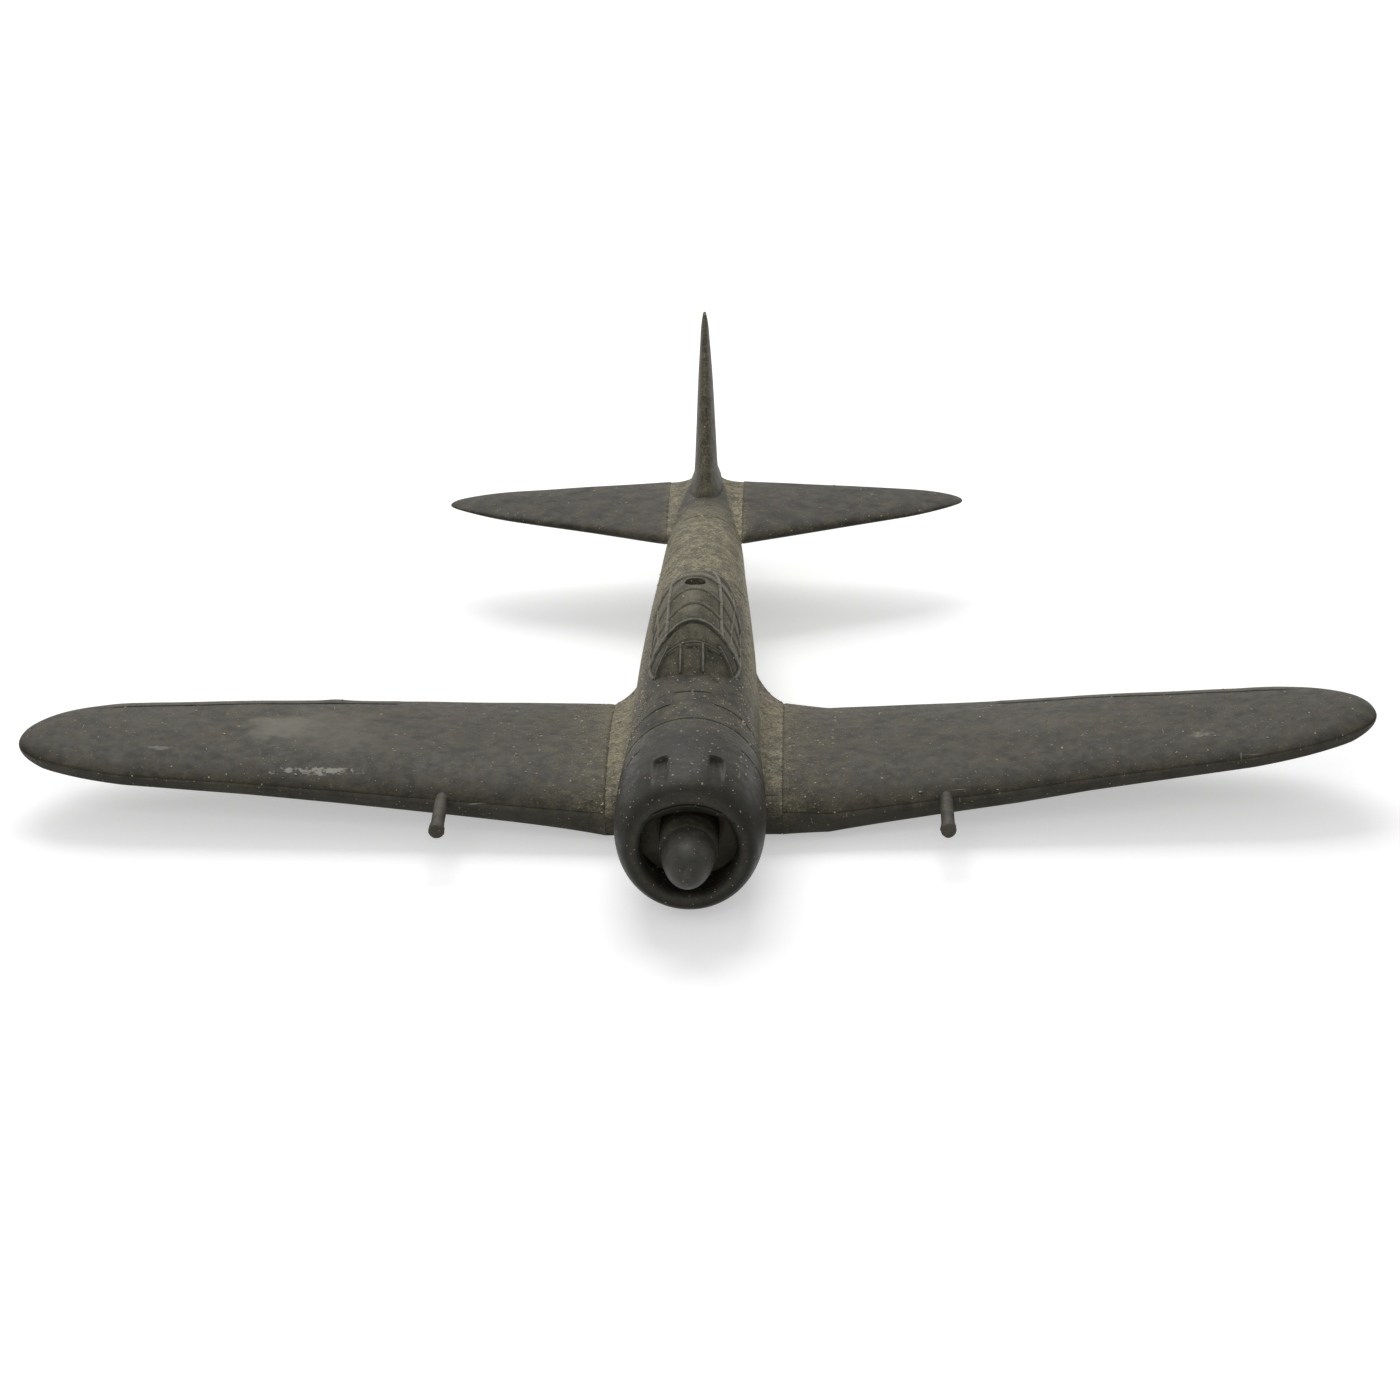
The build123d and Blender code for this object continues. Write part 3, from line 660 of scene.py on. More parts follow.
def wing_skin_heights(x, share, surface, side):
    """Height of a skin over the chord line, with the aileron's line and the moulding's unevenness."""
    lead, trail = wing_edges(x)
    chord = trail - lead
    thick = root_thickness + (tip_thickness - root_thickness) * np.clip(
        (x - joint_x) / (span / 2 - wing_round_length - joint_x), 0, 1)
    rim = edge * np.clip(chord / (0.5 * root_chord), 0, 1)
    height = chord * aerofoil(share, thick, camber, surface) + surface * share * rim / 2
    body_of_wing = np.clip(share * 8, 0, 1) * np.clip((x - joint_x) / 4, 0, 1)
    height = height + 0.05 * waviness(x * side, share * chord, 11) * body_of_wing
    deeper = nose_depth + (root_nose_depth - nose_depth) * np.exp(-(x - joint_x) / 6.0)
    height = height - fuller_nose(share, deeper, surface) * np.clip(chord / 12.0, 0, 1)
    if surface > 0:
        from_tail = (1 - share) * chord
        fade = ease((x - aileron_inboard) / 0.8) * ease((aileron_outboard - x) / 3.0)
        height = height - 0.14 * groove(from_tail - aileron_width, 0.13) * fade
        height = height + 0.05 * ease((aileron_width - from_tail) / 0.2) * fade
        height = height - 0.12 * groove(x - joint_x, 0.12) * np.clip(share * 20, 0, 1)
        if side < 0:
            lump = groove(x - 42.0, 1.4) * ease((2.0 - from_tail) / 2.0)
            height = height + 0.14 * lump
    return height


def wing_grid(surface, side):
    """Outside of one skin of one wing: rows along the span, columns along the chord."""
    x = wing_stations()[:, None]
    lead, trail = wing_edges(x)
    chord = trail - lead
    start = wing_seam * (surface > 0)
    nose = start + (0.90 - start) * (1 - np.cos(np.linspace(0, math.pi / 2, 58))) ** 1.25
    rear_mm = np.linspace(0, 3.0, 30)[::-1] * np.clip(chord / 14.0, 0, 1)
    rear = 1 - rear_mm / np.maximum(chord, 0.01)
    link = nose[-1] + (rear[:, :1] - nose[-1]) * np.linspace(0, 1, 8)[1:-1]
    nose = np.broadcast_to(nose, (len(x), len(nose)))
    narrow = rear[:, :1] < 0.9
    nose = np.where(narrow, nose * rear[:, :1] / 0.9 * 0.97, nose)
    link = np.where(narrow, rear[:, :1] * (0.97 + 0.03 * np.linspace(0, 1, 8)[1:-1]), link)
    share = np.clip(np.concatenate([nose, link, rear], 1), 0, 1)
    share = np.sort(share, 1)
    height = wing_skin_heights(x, share, surface, side)
    if surface < 0:
        # the lower skin turns up round the nose to the seam
        wrap = wing_seam * np.linspace(1, 0, 9)[:-1]
        wrap = np.broadcast_to(wrap, (len(x), len(wrap)))
        over = wing_skin_heights(x, wrap, 1, side)
        share, height = np.concatenate([wrap, share], 1), np.concatenate([over, height], 1)
    y, z = wing_place(x, share, height, side)
    gap = np.arange(share.shape[1])[None, :]
    y = y + 0.13 * np.exp(-(gap / 1.2) ** 2) * np.clip(chord / 8.0, 0, 1)
    return np.stack([np.broadcast_to(side * x, y.shape), y, z], -1)


def closed_skin(grid, toward):
    """Closes an outside skin along the flat where the two skins meet."""
    inner = np.linspace(0, 1, 7)[1:-1][None, :, None]
    last, first = grid[:, -1:], grid[:, :1]
    last = last.copy()
    last[..., 2] += toward
    back = last + (first - last) * inner
    return ring_grid(np.concatenate([grid, last, back], 1))


def belly():
    """The middle of the lower wing: the flat belly between the panels."""
    rows = spread((wing_le_y + 0.01, wing_le_y + 0.8, 0.08), (wing_le_y + 0.8, wing_te_y - 0.5, 0.4),
                  (wing_te_y - 0.5, wing_te_y - 0.01, 0.08))
    share = (np.arange(60) / 59.0) ** 1.4
    quarter = -np.radians(90) * share
    angle = np.concatenate([quarter, (-math.pi - quarter[::-1])[1:]])
    angle = np.broadcast_to(angle, (len(rows), len(angle))).copy()
    centre = np.full((len(rows), 1), wing_z)
    folded = np.where(np.cos(angle) < 0, -math.pi - angle, angle)
    reach = body_rays(rows, folded, centre)
    x, z = reach * np.cos(angle), centre + reach * np.sin(angle)
    y = np.broadcast_to(rows[:, None], x.shape)
    return ring_grid(np.stack([x, y, np.maximum(z, belly_z)], -1))


def tailplane(side):
    """One tailplane: a thin symmetrical wing."""
    start, tip = tail_span / 2 - tail_round_length, tail_span / 2
    turn = np.linspace(0, math.pi / 2, 44)[1:]
    x = np.concatenate([np.arange(tail_joint_x, start, 0.3), start + (tip - start) * np.sin(turn) * 0.9995])
    x = x[:, None]
    out = x - tail_joint_x
    lead, trail = tail_le_y + tail_le_rake * out, tail_le_y + tail_chord - tail_te_rake * out
    past = np.clip((x - start) / (tip - start), 0, 1)
    rounding = 1 - np.clip(1 - past ** 2.3, 0, 1) ** (1 / 2.3)
    lead, trail = lead + (tail_tip_y - lead) * rounding, trail + (tail_tip_y - trail) * rounding
    chord = trail - lead
    share = (1 - np.cos(np.linspace(0, math.pi, 58))) / 2
    rim = edge * np.clip(2 * chord / tail_chord, 0, 1)
    half = chord * aerofoil(share, tail_thickness, 0, 1) + share * rim / 2
    half = half * (1 - 0.10 * groove(x - tail_joint_x, 0.12))
    uneven = 0.035 * waviness(x * side, share * chord, 23) * np.clip(out / 3, 0, 1)
    y = lead + share * chord
    upper = np.stack([np.broadcast_to(side * x, y.shape), y, tail_z + half + uneven], -1)
    lower = np.stack([np.broadcast_to(side * x, y.shape), y, tail_z - half + uneven], -1)
    return ring_grid(np.concatenate([upper, lower[:, ::-1][:, :-1]], 1))


# ---------------------------------------------------------------- cowling

trough_x, trough_start, trough_end, trough_half, trough_depth = 3.05, 9.6, 15.9, 0.95, 0.62
intake_top_z, intake_arc = 4.14, 8.8
slot_z, slot_arc, slot_reach = 5.08, 7.0, 4.15
flap_line_y, flap_low, flap_high = 21.4, -3.4, 6.2


def cowling():
    """The cowling: rounded lip, intake over the opening, two gun troughs and the flap line."""
    angle = np.linspace(0, 2 * math.pi, 421)[:-1][:, None]
    up, across = np.cos(angle), np.sin(angle)
    # outside, from the rear edge forward to the crown of the lip
    y = spread((cowl_lip_y + 0.6, 15.3, 0.16), (15.3, 16.2, 0.06), (16.2, cowl_rear_y - 0.5, 0.3),
               (flap_line_y - 0.4, flap_line_y + 0.4, 0.06), (cowl_rear_y - 0.5, cowl_rear_y, 0.08))[::-1]
    bulge = np.clip((cowl_widest_y - y) / (cowl_widest_y - cowl_lip_y), 0, 1)
    ahead = cowl_crown_radius + (cowl_radius - cowl_crown_radius) * (1 - bulge ** 2.4) ** (1 / 2.4)
    aft = cowl_radius - (cowl_radius - cowl_rear_radius) * np.clip(
        (y - cowl_widest_y) / (cowl_rear_y - cowl_widest_y), 0, 1) ** 1.8
    outer_r = np.where(y < cowl_widest_y, ahead, aft)
    front = np.linspace(0, 1, 22)[1:]
    start_bulge = bulge[-1]
    front_bulge = 1 - (1 - start_bulge) * (1 - front) ** 2
    front_y = cowl_widest_y - (cowl_widest_y - cowl_lip_y) * front_bulge
    front_r = cowl_crown_radius + (cowl_radius - cowl_crown_radius) * np.clip(
        1 - front_bulge ** 2.4, 0, 1) ** (1 / 2.4)
    y, outer_r = np.concatenate([y, front_y]), np.concatenate([outer_r, front_r])
    radius = np.broadcast_to(outer_r, (len(angle), len(outer_r))).copy()
    along = np.broadcast_to(y, radius.shape).copy()
    x, z = radius * across, radius * up
    for side in (1, -1):
        tail = np.clip((along - trough_end + trough_half) / trough_half, 0, 1)
        share = np.clip(((x - side * trough_x) / trough_half) ** 2 + tail ** 2, 0, 1)
        depth = trough_depth * np.clip((along - trough_start) / (trough_end - trough_start), 0, 1)
        radius -= np.where(z > 0, ease(1.15 - 1.15 * share) * depth, 0)
    flank = ease((z - flap_low) / 0.6) * ease((flap_high - z) / 0.6)
    radius -= 0.16 * groove(along - flap_line_y, 0.12) * flank
    radius -= 0.12 * ease((along - cowl_rear_y + 0.22) / 0.22)
    # lip, from the crown in to the opening
    flat = -(intake_arc - intake_top_z) * up + np.sqrt((intake_arc - intake_top_z) ** 2 * (up ** 2 - 1)
                                                      + intake_arc ** 2)
    opening = np.where(up > 0, np.minimum(opening_radius, flat), opening_radius)
    turn = np.linspace(0, math.pi / 2, 46)[None, 1:]
    lip_r = cowl_crown_radius - (cowl_crown_radius - opening) * np.sin(turn)
    lip_y = cowl_lip_y + 0.85 * (1 - np.cos(turn)) + 0 * lip_r
    lip_x, lip_z = lip_r * across, lip_r * up
    off_arc = np.hypot(lip_x, lip_z - (slot_z - slot_arc)) - slot_arc - 0.12
    slot = groove(off_arc, 0.085) * (lip_z > 0) * ease((slot_reach - np.abs(lip_x)) / 0.9)
    below = ease(-off_arc / 0.15) * (lip_z > 3.0)
    lip_y = lip_y + 0.42 * slot + 0.1 * below
    # inside: a straight throat, then wider, then the shoulder for the disc and the rear edge
    inner = [(opening, 9.7), (opening, 10.6), (6.2, 11.2), (6.2, 15.5), (6.9, 15.5), (6.9, 25.9),
             (7.2, cowl_rear_y)]
    inner_r = np.concatenate([np.broadcast_to(r, angle.shape) for r, _ in inner], 1)
    inner_y = np.concatenate([np.full(angle.shape, at) for _, at in inner], 1)
    radius = np.concatenate([radius, lip_r, inner_r], 1)
    along = np.concatenate([along, lip_y, inner_y], 1)
    return torus_grid(np.stack([radius * across, along, radius * up], -1))


# ---------------------------------------------------------------- canopy

canopy_base_z = 6.0
hole_y, hole_radius, hole_depth = 52.2, 1.15, 4.0
# y, half width at the sill, top, fullness
canopy_lines = [(38.9, 3.3, 7.7, 1.65), (40.0, 4.1, 8.9, 1.6), (41.3, 4.7, 10.2, 1.55),
                (44.3, 5.05, 12.45, 1.5), (47.6, 5.05, 13.4, 1.5), (51.5, 4.95, 13.95, 1.78), (55.5, 4.9, 13.5, 1.88),
                (59.5, 4.7, 12.2, 1.9), (63.5, 4.3, 10.7, 1.9), (67.7, 3.8, 9.2, 1.9), (72.0, 3.2, 7.7, 1.9)]


crown_rounding = 0.1
crown_scale = math.sqrt(1 + crown_rounding ** 2) - crown_rounding


def canopy_height(x, y):
    """Height of the glazing over a point: a steep-sided arch with a rounded crown."""
    half, top, full = smooth_table(canopy_lines, y)
    share = np.clip(np.abs(x) / half, 0, 1)
    share = (np.sqrt(share ** 2 + crown_rounding ** 2) - crown_rounding) / crown_scale
    return canopy_base_z + (top - canopy_base_z) * np.clip(1 - share ** full, 0, 1) ** (1 / full)


def canopy_side(y, z):
    """Half width of the glazing at a height."""
    half, top, full = smooth_table(canopy_lines, y)
    share = np.clip((z - canopy_base_z) / (top - canopy_base_z), 0, 1)
    lying = (1 - share ** full) ** (1 / full) * crown_scale + crown_rounding
    return half * np.sqrt(lying ** 2 - crown_rounding ** 2)


def arch(y, lean=0.0, low=6.3, steps=40):
    """A frame over the canopy, from sill to sill."""
    half, top, _ = smooth_table(canopy_lines, np.array(y))
    x = half * np.sin(np.linspace(-1, 1, steps) * math.pi / 2)
    z = canopy_height(x, np.full(x.shape, y))
    points = np.stack([x, y - lean * (top - z) / (top - canopy_base_z), z], 1)
    return points[points[:, 2] > low]


def along_top(places):
    """A bar over the top of the canopy through (x, y) places."""
    return np.array([(x, y, float(canopy_height(np.array(x), np.array(y)))) for x, y in places])


def along_side(places, side):
    """A bar on the side of the canopy through (y, z) places."""
    return np.array([(side * float(canopy_side(np.array(y), np.array(z))), y, z) for y, z in places])


def fine_path(places, step=0.6):
    """More points along a short list of places."""
    places = np.array(places, float)
    made = [places[:1]]
    for a, b in zip(places[:-1], places[1:]):
        count = max(2, int(np.linalg.norm(b - a) / step))
        made.append(a + (b - a) * (np.arange(1, count + 1) / count)[:, None])
    return np.concatenate(made)


def canopy_bars():
    """The raised bars of the canopy: (path, half width, height)."""
    bars = [(arch(44.1, 0.35), 0.20, 0.24), (arch(47.1), 0.12, 0.20), (arch(50.1), 0.11, 0.16),
            (arch(54.3), 0.13, 0.20), (arch(63.4), 0.16, 0.20), (arch(59.0), 0.10, 0.14),
            (arch(68.6), 0.12, 0.14)]
    bars.append((along_top(fine_path([(-2.95, 41.75), (2.95, 41.75)])), 0.13, 0.20))
    for x in (-1.45, 1.05):
        bars.append((along_top(fine_path([(x, 39.3), (x, 41.7)])), 0.11, 0.18 if x < 0 else 0.13))
    for side in (1, -1):
        rail = [(side * 3.15, 44.1), (side * 3.0, 47.0), (side * 2.95, 50.3), (side * 2.75, 54.0),
                (side * 2.4, 60.0), (side * 2.0, 66.0), (side * 1.5, 71.2)]
        bars.append((along_top(fine_path(rail)), 0.13, 0.22))
        for places, step, half, height in (
                ([(41.0, 6.45), (50.0, 6.55), (60.0, 6.55), (71.5, 6.5)], 0.6, 0.18, 0.20),
                ([(44.6, 8.9), (50.0, 9.6), (56.0, 9.5), (62.0, 8.6)], 0.6, 0.10, 0.14),
                ([(40.6, 6.6), (42.3, 9.7)], 0.3, 0.13, 0.20)):
            bars.append((along_side(fine_path(places, step), side), half, height))
    return bars


def bar_relief(points):
    """How far the bars stand out of the glazing at each point, and how dark the painted shade in the ruts beside them
    is.
    """
    relief, darkening = np.zeros(len(points)), np.zeros(len(points))
    for path, half, height in canopy_bars():
        nearest = np.full(len(points), 9.0)
        low, high = path.min(0) - 1, path.max(0) + 1
        close = np.all((points > low) & (points < high), 1)
        some = points[close]
        best = np.full(len(some), 9.0)
        for a, b in zip(path[:-1], path[1:]):
            run = b - a
            share = np.clip((some - a) @ run / max(run @ run, 1e-9), 0, 1)
            best = np.minimum(best, np.linalg.norm(some - a - share[:, None] * run, axis=1))
        nearest[close] = best
        relief = np.maximum(relief, height * ease((half + 0.05 - nearest) / 0.11))
        # painted shade in the ruts beside each bar
        darkening = np.maximum(darkening, groove(nearest - half - 0.13, 0.11) * (height / 0.2) ** 0.5)
    darkening = darkening * (relief < 0.04)
    return relief - 0.08 * darkening, np.clip(darkening, 0, 1)


def on_glazing(x, y, z):
    """Points of the moulded canopy moved back onto the plain glazing under them."""
    half, top, full = smooth_table(canopy_lines, np.clip(y, 38.9, 72.0))
    share = (np.sqrt((x / half) ** 2 + crown_rounding ** 2) - crown_rounding) / crown_scale
    height = np.clip((z - canopy_base_z) / (top - canopy_base_z), 0, 9)
    shrink = np.clip(share ** full + height ** full, 0.3, 3) ** (-1 / full)
    return np.stack([x * shrink, y, canopy_base_z + (z - canopy_base_z) * shrink], 1)


def canopy():
    """The canopy, with raised bars, sunk front slots and the display hole in its top."""
    rows = spread((38.9, 45.5, 0.09), (45.5, 56.0, 0.12), (56.0, 72.0, 0.17))
    turn = np.linspace(-1, 1, 189)
    x = smooth_table(canopy_lines, rows)[0][:, None] * np.sin(turn * math.pi / 2)
    y = np.broadcast_to(rows[:, None], x.shape)
    z = canopy_height(x, y)
    points = np.stack([x, y, z], -1)
    normal = np.cross(np.gradient(points, axis=0), np.gradient(points, axis=1))
    normal /= np.maximum(np.linalg.norm(normal, axis=2, keepdims=True), 1e-9)
    normal *= np.sign(np.sum(normal * (points - [0, 50, 6.0]), axis=2, keepdims=True) + 1e-9)
    relief = bar_relief(points.reshape(-1, 3))[0].reshape(x.shape)
    for start, end in ((-0.95, 0.75), (1.5, 2.35)):
        slot = ease((x - start) / 0.2) * ease((end - x) / 0.2) * groove(y - 41.3, 0.13)
        relief = relief - 0.28 * slot
    points = points + normal * relief[..., None]
    # the hole: points inside its rim drop straight down, points near it move to the rim
    from_hole = np.hypot(points[..., 0], points[..., 1] - hole_y)
    inside = from_hole < hole_radius
    points[..., 2] = np.where(inside & (points[..., 2] > 10), points[..., 2] - hole_depth, points[..., 2])
    ring = np.concatenate([points, np.stack([x[:, -1:], y[:, -1:], 0 * z[:, -1:] + canopy_base_z - 0.4], -1),
                           np.stack([x[:, :1], y[:, :1], 0 * z[:, :1] + canopy_base_z - 0.4], -1)], 1)
    return ring_grid(ring)


# ---------------------------------------------------------------- turned pieces, as one lathe tree

def grown(name, mesh, tree, values):
    """The plain mesh that a node tree makes from another; values are the tree's named inputs."""
    holder = add_object(name + "_source", mesh)
    modifier = holder.modifiers.new("nodes", "NODES")
    modifier.node_group = tree
    sockets = {item.name: item.identifier for item in tree.interface.items_tree if item.in_out == "INPUT"}
    for label, value in values.items():
        modifier[sockets[label]] = value
    graph = bpy.context.evaluated_depsgraph_get()
    graph.update()
    made = bpy.data.meshes.new_from_object(holder.evaluated_get(graph), depsgraph=graph)
    made.name = name
    holder.modifiers.clear()
    bpy.data.objects.remove(holder)
    return made


def finish_tree(w, take, give, geometry):
    """Ends a geometry tree: real geometry with its material."""
    real = w.node("GeometryNodeRealizeInstances")
    w.feed(real.inputs[0], geometry)
    coat = w.node("GeometryNodeSetMaterial")
    w.feed(coat.inputs["Geometry"], real.outputs[0])
    w.feed(coat.inputs["Material"], take["Material"])
    w.feed(give[0], coat.outputs[0])


def turned(name, profile, at, material, stands_for, body="airframe", around=96, roughness=0.0,
           rough_until=None, seed=0, sharp_degrees=32):
    """A turned piece from (length, radius) pairs, about the line through at along the length."""
    profile = np.array(profile, float)
    tree, w, take, give = new_tree(name + "_lathe", "GeometryNodeTree", [
        ("Geometry", "Geometry", None), ("Around", "Int", 96), ("Roughness", "Float", 0.0),
        ("Material", "Material", None)], [("Geometry", "Geometry")])
    wire = w.node("GeometryNodeMeshToCurve")
    w.feed(wire.inputs["Mesh"], take["Geometry"])
    circle = w.node("GeometryNodeCurvePrimitiveCircle")
    w.feed(circle.inputs["Resolution"], take["Around"])
    circle.inputs["Radius"].default_value = 1e-6
    sweep = w.node("GeometryNodeCurveToMesh")
    w.feed(sweep.inputs["Curve"], circle.outputs[0])
    w.feed(sweep.inputs["Profile Curve"], wire.outputs[0])
    weld = w.node("GeometryNodeMergeByDistance")
    w.feed(weld.inputs["Geometry"], sweep.outputs[0])
    weld.inputs["Distance"].default_value = 4e-6
    place = w.node("GeometryNodeInputPosition").outputs[0]
    bumps = w.node("ShaderNodeTexNoise", noise_dimensions="4D")
    bumps.inputs["W"].default_value = seed
    bumps.inputs["Scale"].default_value = 1500.0
    w.feed(bumps.inputs["Vector"], place)
    limit = rough_until * MM if rough_until is not None else 1.0
    # at this stage the length runs down Z
    down = w.maths("ABSOLUTE", w.split(place)["Z"])
    weight = w.band(down, limit, limit * 0.5 if rough_until else 0.0)
    scaled = w.node("ShaderNodeVectorMath", operation="SCALE")
    w.feed(scaled.inputs[0], w.vector("SUBTRACT", bumps.outputs["Color"], (0.5, 0.5, 0.5)))
    w.feed(scaled.inputs["Scale"], w.maths("MULTIPLY", weight, take["Roughness"]))
    shift = w.node("GeometryNodeSetPosition")
    w.feed(shift.inputs["Geometry"], weld.outputs[0])
    w.feed(shift.inputs["Offset"], scaled.outputs[0])
    lay = w.node("GeometryNodeTransform")
    w.feed(lay.inputs["Geometry"], shift.outputs[0])
    lay.inputs["Rotation"].default_value = (math.pi / 2, 0, 0)
    lay.inputs["Translation"].default_value = metres([at])[0].tolist()
    finish_tree(w, take, give, lay.outputs[0])

    # the profile as a wire: radius along X, length along Y of the sweep's profile plane
    wire_mesh = bpy.data.meshes.new(name + "_profile")
    wire_mesh.from_pydata([(radius * MM, along * MM, 0) for along, radius in profile],
                          [(k, k + 1) for k in range(len(profile) - 1)], [])
    mesh = grown(name, wire_mesh, tree, {"Around": around, "Roughness": roughness * MM, "Material": material})
    finish_mesh(mesh, sharp_degrees)
    return settle(add_object(name, mesh), None, stands_for, body)


# ---------------------------------------------------------------- dust crumbs

def crumb_tree():
    """Geometry nodes that scatter little crumbs of dust over surfaces."""
    tree, w, take, give = new_tree("dust_crumbs", "GeometryNodeTree", [
        ("Geometry", "Geometry", None), ("Crumbs per mm2", "Float", 1.0), ("Smallest mm", "Float", 0.05),
        ("Largest mm", "Float", 0.13), ("Seed", "Int", 7), ("Material", "Material", None)],
        [("Geometry", "Geometry")])
    here = w.node("GeometryNodeInputNamedAttribute", data_type="FLOAT")
    here.inputs["Name"].default_value = "crumbs"
    per_metre = w.maths("MULTIPLY", take["Crumbs per mm2"], 1e6)
    scatter = w.node("GeometryNodeDistributePointsOnFaces", distribute_method="RANDOM")
    w.feed(scatter.inputs["Mesh"], take["Geometry"])
    w.feed(scatter.inputs["Density"], w.maths("MULTIPLY", here.outputs["Attribute"], per_metre))
    w.feed(scatter.inputs["Seed"], take["Seed"])
    ball = w.node("GeometryNodeMeshIcoSphere")
    ball.inputs["Radius"].default_value = 0.5
    ball.inputs["Subdivisions"].default_value = 1
    small = w.maths("MULTIPLY", take["Smallest mm"], MM)
    large = w.maths("MULTIPLY", take["Largest mm"], MM)
    chance = w.node("FunctionNodeRandomValue", data_type="FLOAT")
    w.feed(chance.inputs["Seed"], take["Seed"])
    skew = w.maths("POWER", chance.outputs[1], 2.6)
    scale = w.maths("ADD", small, w.maths("MULTIPLY", skew, w.maths("SUBTRACT", large, small)))

    def any_vector(low, high):
        made = w.node("FunctionNodeRandomValue", data_type="FLOAT_VECTOR")
        made.inputs[0].default_value, made.inputs[1].default_value = low, high
        return made.outputs[0]

    both = w.node("ShaderNodeVectorMath", operation="SCALE")
    w.feed(both.inputs[0], any_vector((0.6, 0.6, 0.45), (1.5, 1.2, 0.9)))
    w.feed(both.inputs["Scale"], scale)
    stamp = w.node("GeometryNodeInstanceOnPoints")
    w.feed(stamp.inputs["Points"], scatter.outputs["Points"])
    w.feed(stamp.inputs["Instance"], ball.outputs[0])
    w.feed(stamp.inputs["Scale"], both.outputs[0])
    w.feed(stamp.inputs["Rotation"], any_vector((-0.5, -0.5, 0), (0.5, 0.5, 6.28)))
    finish_tree(w, take, give, stamp.outputs[0])
    return tree


def crumb_density(x, y, z, up):
    """Where crumbs lie, per square millimetre: thick beside the body, thin towards the tips."""
    aside = np.abs(x)
    beside = np.exp(-np.clip(aside - 8.5, 0, 99) / 3.2) * ((y > 28) & (y < 80))
    deck = 0.25 * ((y > 26) & (y < 38) & (z > 2)) + 0.15 * ((y >= 38) & (y < 90) & (z > 3))
    nose = 0.10 * (y < 26)
    everywhere = 0.06
    return (1.15 * beside * (z < 6) + deck + nose + everywhere) * np.clip((up - 0.25) / 0.4, 0, 1)


def scatter_crumbs(beds, material):
    """Crumbs over the upper faces of some pieces."""
    points, faces = joined([(mesh_points(bed.data), [list(polygon.vertices) for polygon in bed.data.polygons])
                            for bed in beds])
    mesh = bpy.data.meshes.new("dust_bed")
    mesh.from_pydata(points.tolist(), [], faces)
    normals = np.empty(len(points) * 3)
    mesh.vertices.foreach_get("normal", normals)
    density = crumb_density(*drawing_millimetres(points).T, normals.reshape(-1, 3)[:, 2])
    mesh.attributes.new("crumbs", "FLOAT", "POINT").data.foreach_set("value", density.astype(np.float32))
    made = grown("dust_crumbs", mesh, crumb_tree(), {
        "Crumbs per mm2": 3.2, "Smallest mm": 0.09, "Largest mm": 0.36, "Seed": 7, "Material": material})
    piece = add_object("dust_crumbs", made)
    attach(piece, "airframe")
    return piece


# ---------------------------------------------------------------- attributes for dust, wear and dirt, and painted highlight and shade

def paint(piece, settled=None, worn=None, grime=None):
    """Stores where dust settles, where edges wear and the cowling's lip carries a painted highlight, and where dirt
    and painted shade darken, worked out from each point's place.
    """
    drawn = drawing_millimetres(mesh_points(piece.data))
    for label, rule in (("settled", settled), ("worn", worn), ("grime", grime)):
        values = rule(*drawn.T) if rule else np.zeros(len(drawn))
        attribute = piece.data.attributes.new(label, "FLOAT", "POINT")
        attribute.data.foreach_set("value", np.clip(values, 0, 1).astype(np.float32))


def settled_on_body(x, y, z):
    """Dust lies on the fillets, along the sides of the deck and in the joints."""
    half = smooth_table(body_lines, np.clip(y, 26, length))[0]
    fillet = ease((np.abs(x) - half + 1.2) / 1.6) * ease((y - 28) / 6) * ease((82 - y) / 8)
    flank = (ease((np.abs(x) / half - 0.72) / 0.2) * ease((y - 32) / 20) * ease((z + 4) / 3)
             * np.where(x > 0, 1.3, 0.8))
    rear = 0.6 * ease((y - 60) / 14) * ease((108 - y) / 18)
    joint = groove(np.abs(x) - joint_x, 0.5)
    fin = 0.22 * ease((y - 94) / 8) * ease((z - 4) / 3)
    return np.maximum.reduce([fillet * 0.62, flank * 0.75, rear, 0.6 * joint, fin]) * ease((z + 7) / 3)


def settled_on_wing(x, y, z):
    """Dust lies thick beside the body and in the joint, and thins out along the wing."""
    aside = np.abs(x) - joint_x
    return 0.2 * groove(aside, 0.7) + 0.62 * np.exp(-np.clip(aside, 0, 99) / 3.6) + 0.10


def worn_at_rims(x, y, z):
    """The rear edge of a wing and its tip are rubbed paler."""
    lead, trail = wing_edges(np.clip(np.abs(x), joint_x, span / 2))
    return 0.7 * ease((y - trail + 0.5) / 0.4) + 0.25 * ease((aileron_width - trail + y) / 0.3) * ease(
        (np.abs(x) - aileron_inboard) / 2) * ease((aileron_outboard - np.abs(x)) / 3)


def grime_and_nose_shade_on_wing(x, y, z):
    """Dirt in the aileron's line and in the joint with the body, a dark seam line at the nose, and painted shade
    darkening the wing towards its nose.
    """
    x = np.abs(x)
    lead, trail = wing_edges(np.clip(x, joint_x, span / 2))
    # painted shade: the wing darkens over its front 9 mm towards the nose; the dark band at the very nose is the seam
    nose = 0.30 * ease((lead + 9.0 - y) / 8.0) + 0.4 * ease((lead + 0.45 - y) / 0.2)
    aileron = groove(trail - y - aileron_width, 0.17) * ease((x - aileron_inboard) / 0.8)
    return nose + 0.6 * groove(x - joint_x, 0.15) + aileron * ease((aileron_outboard - x) / 3.0)


def worn_and_lip_highlight_on_cowl(x, y, z):
    """The crown of the lip is lighter as a painted highlight, and the rear rim is rubbed paler."""
    radius = np.hypot(x, z)
    return (0.25 * groove(y - cowl_lip_y, 0.35) * groove(radius - 5.9, 0.5)
            + 0.5 * groove(y - cowl_rear_y + 0.2, 0.3))


# ---------------------------------------------------------------- materials

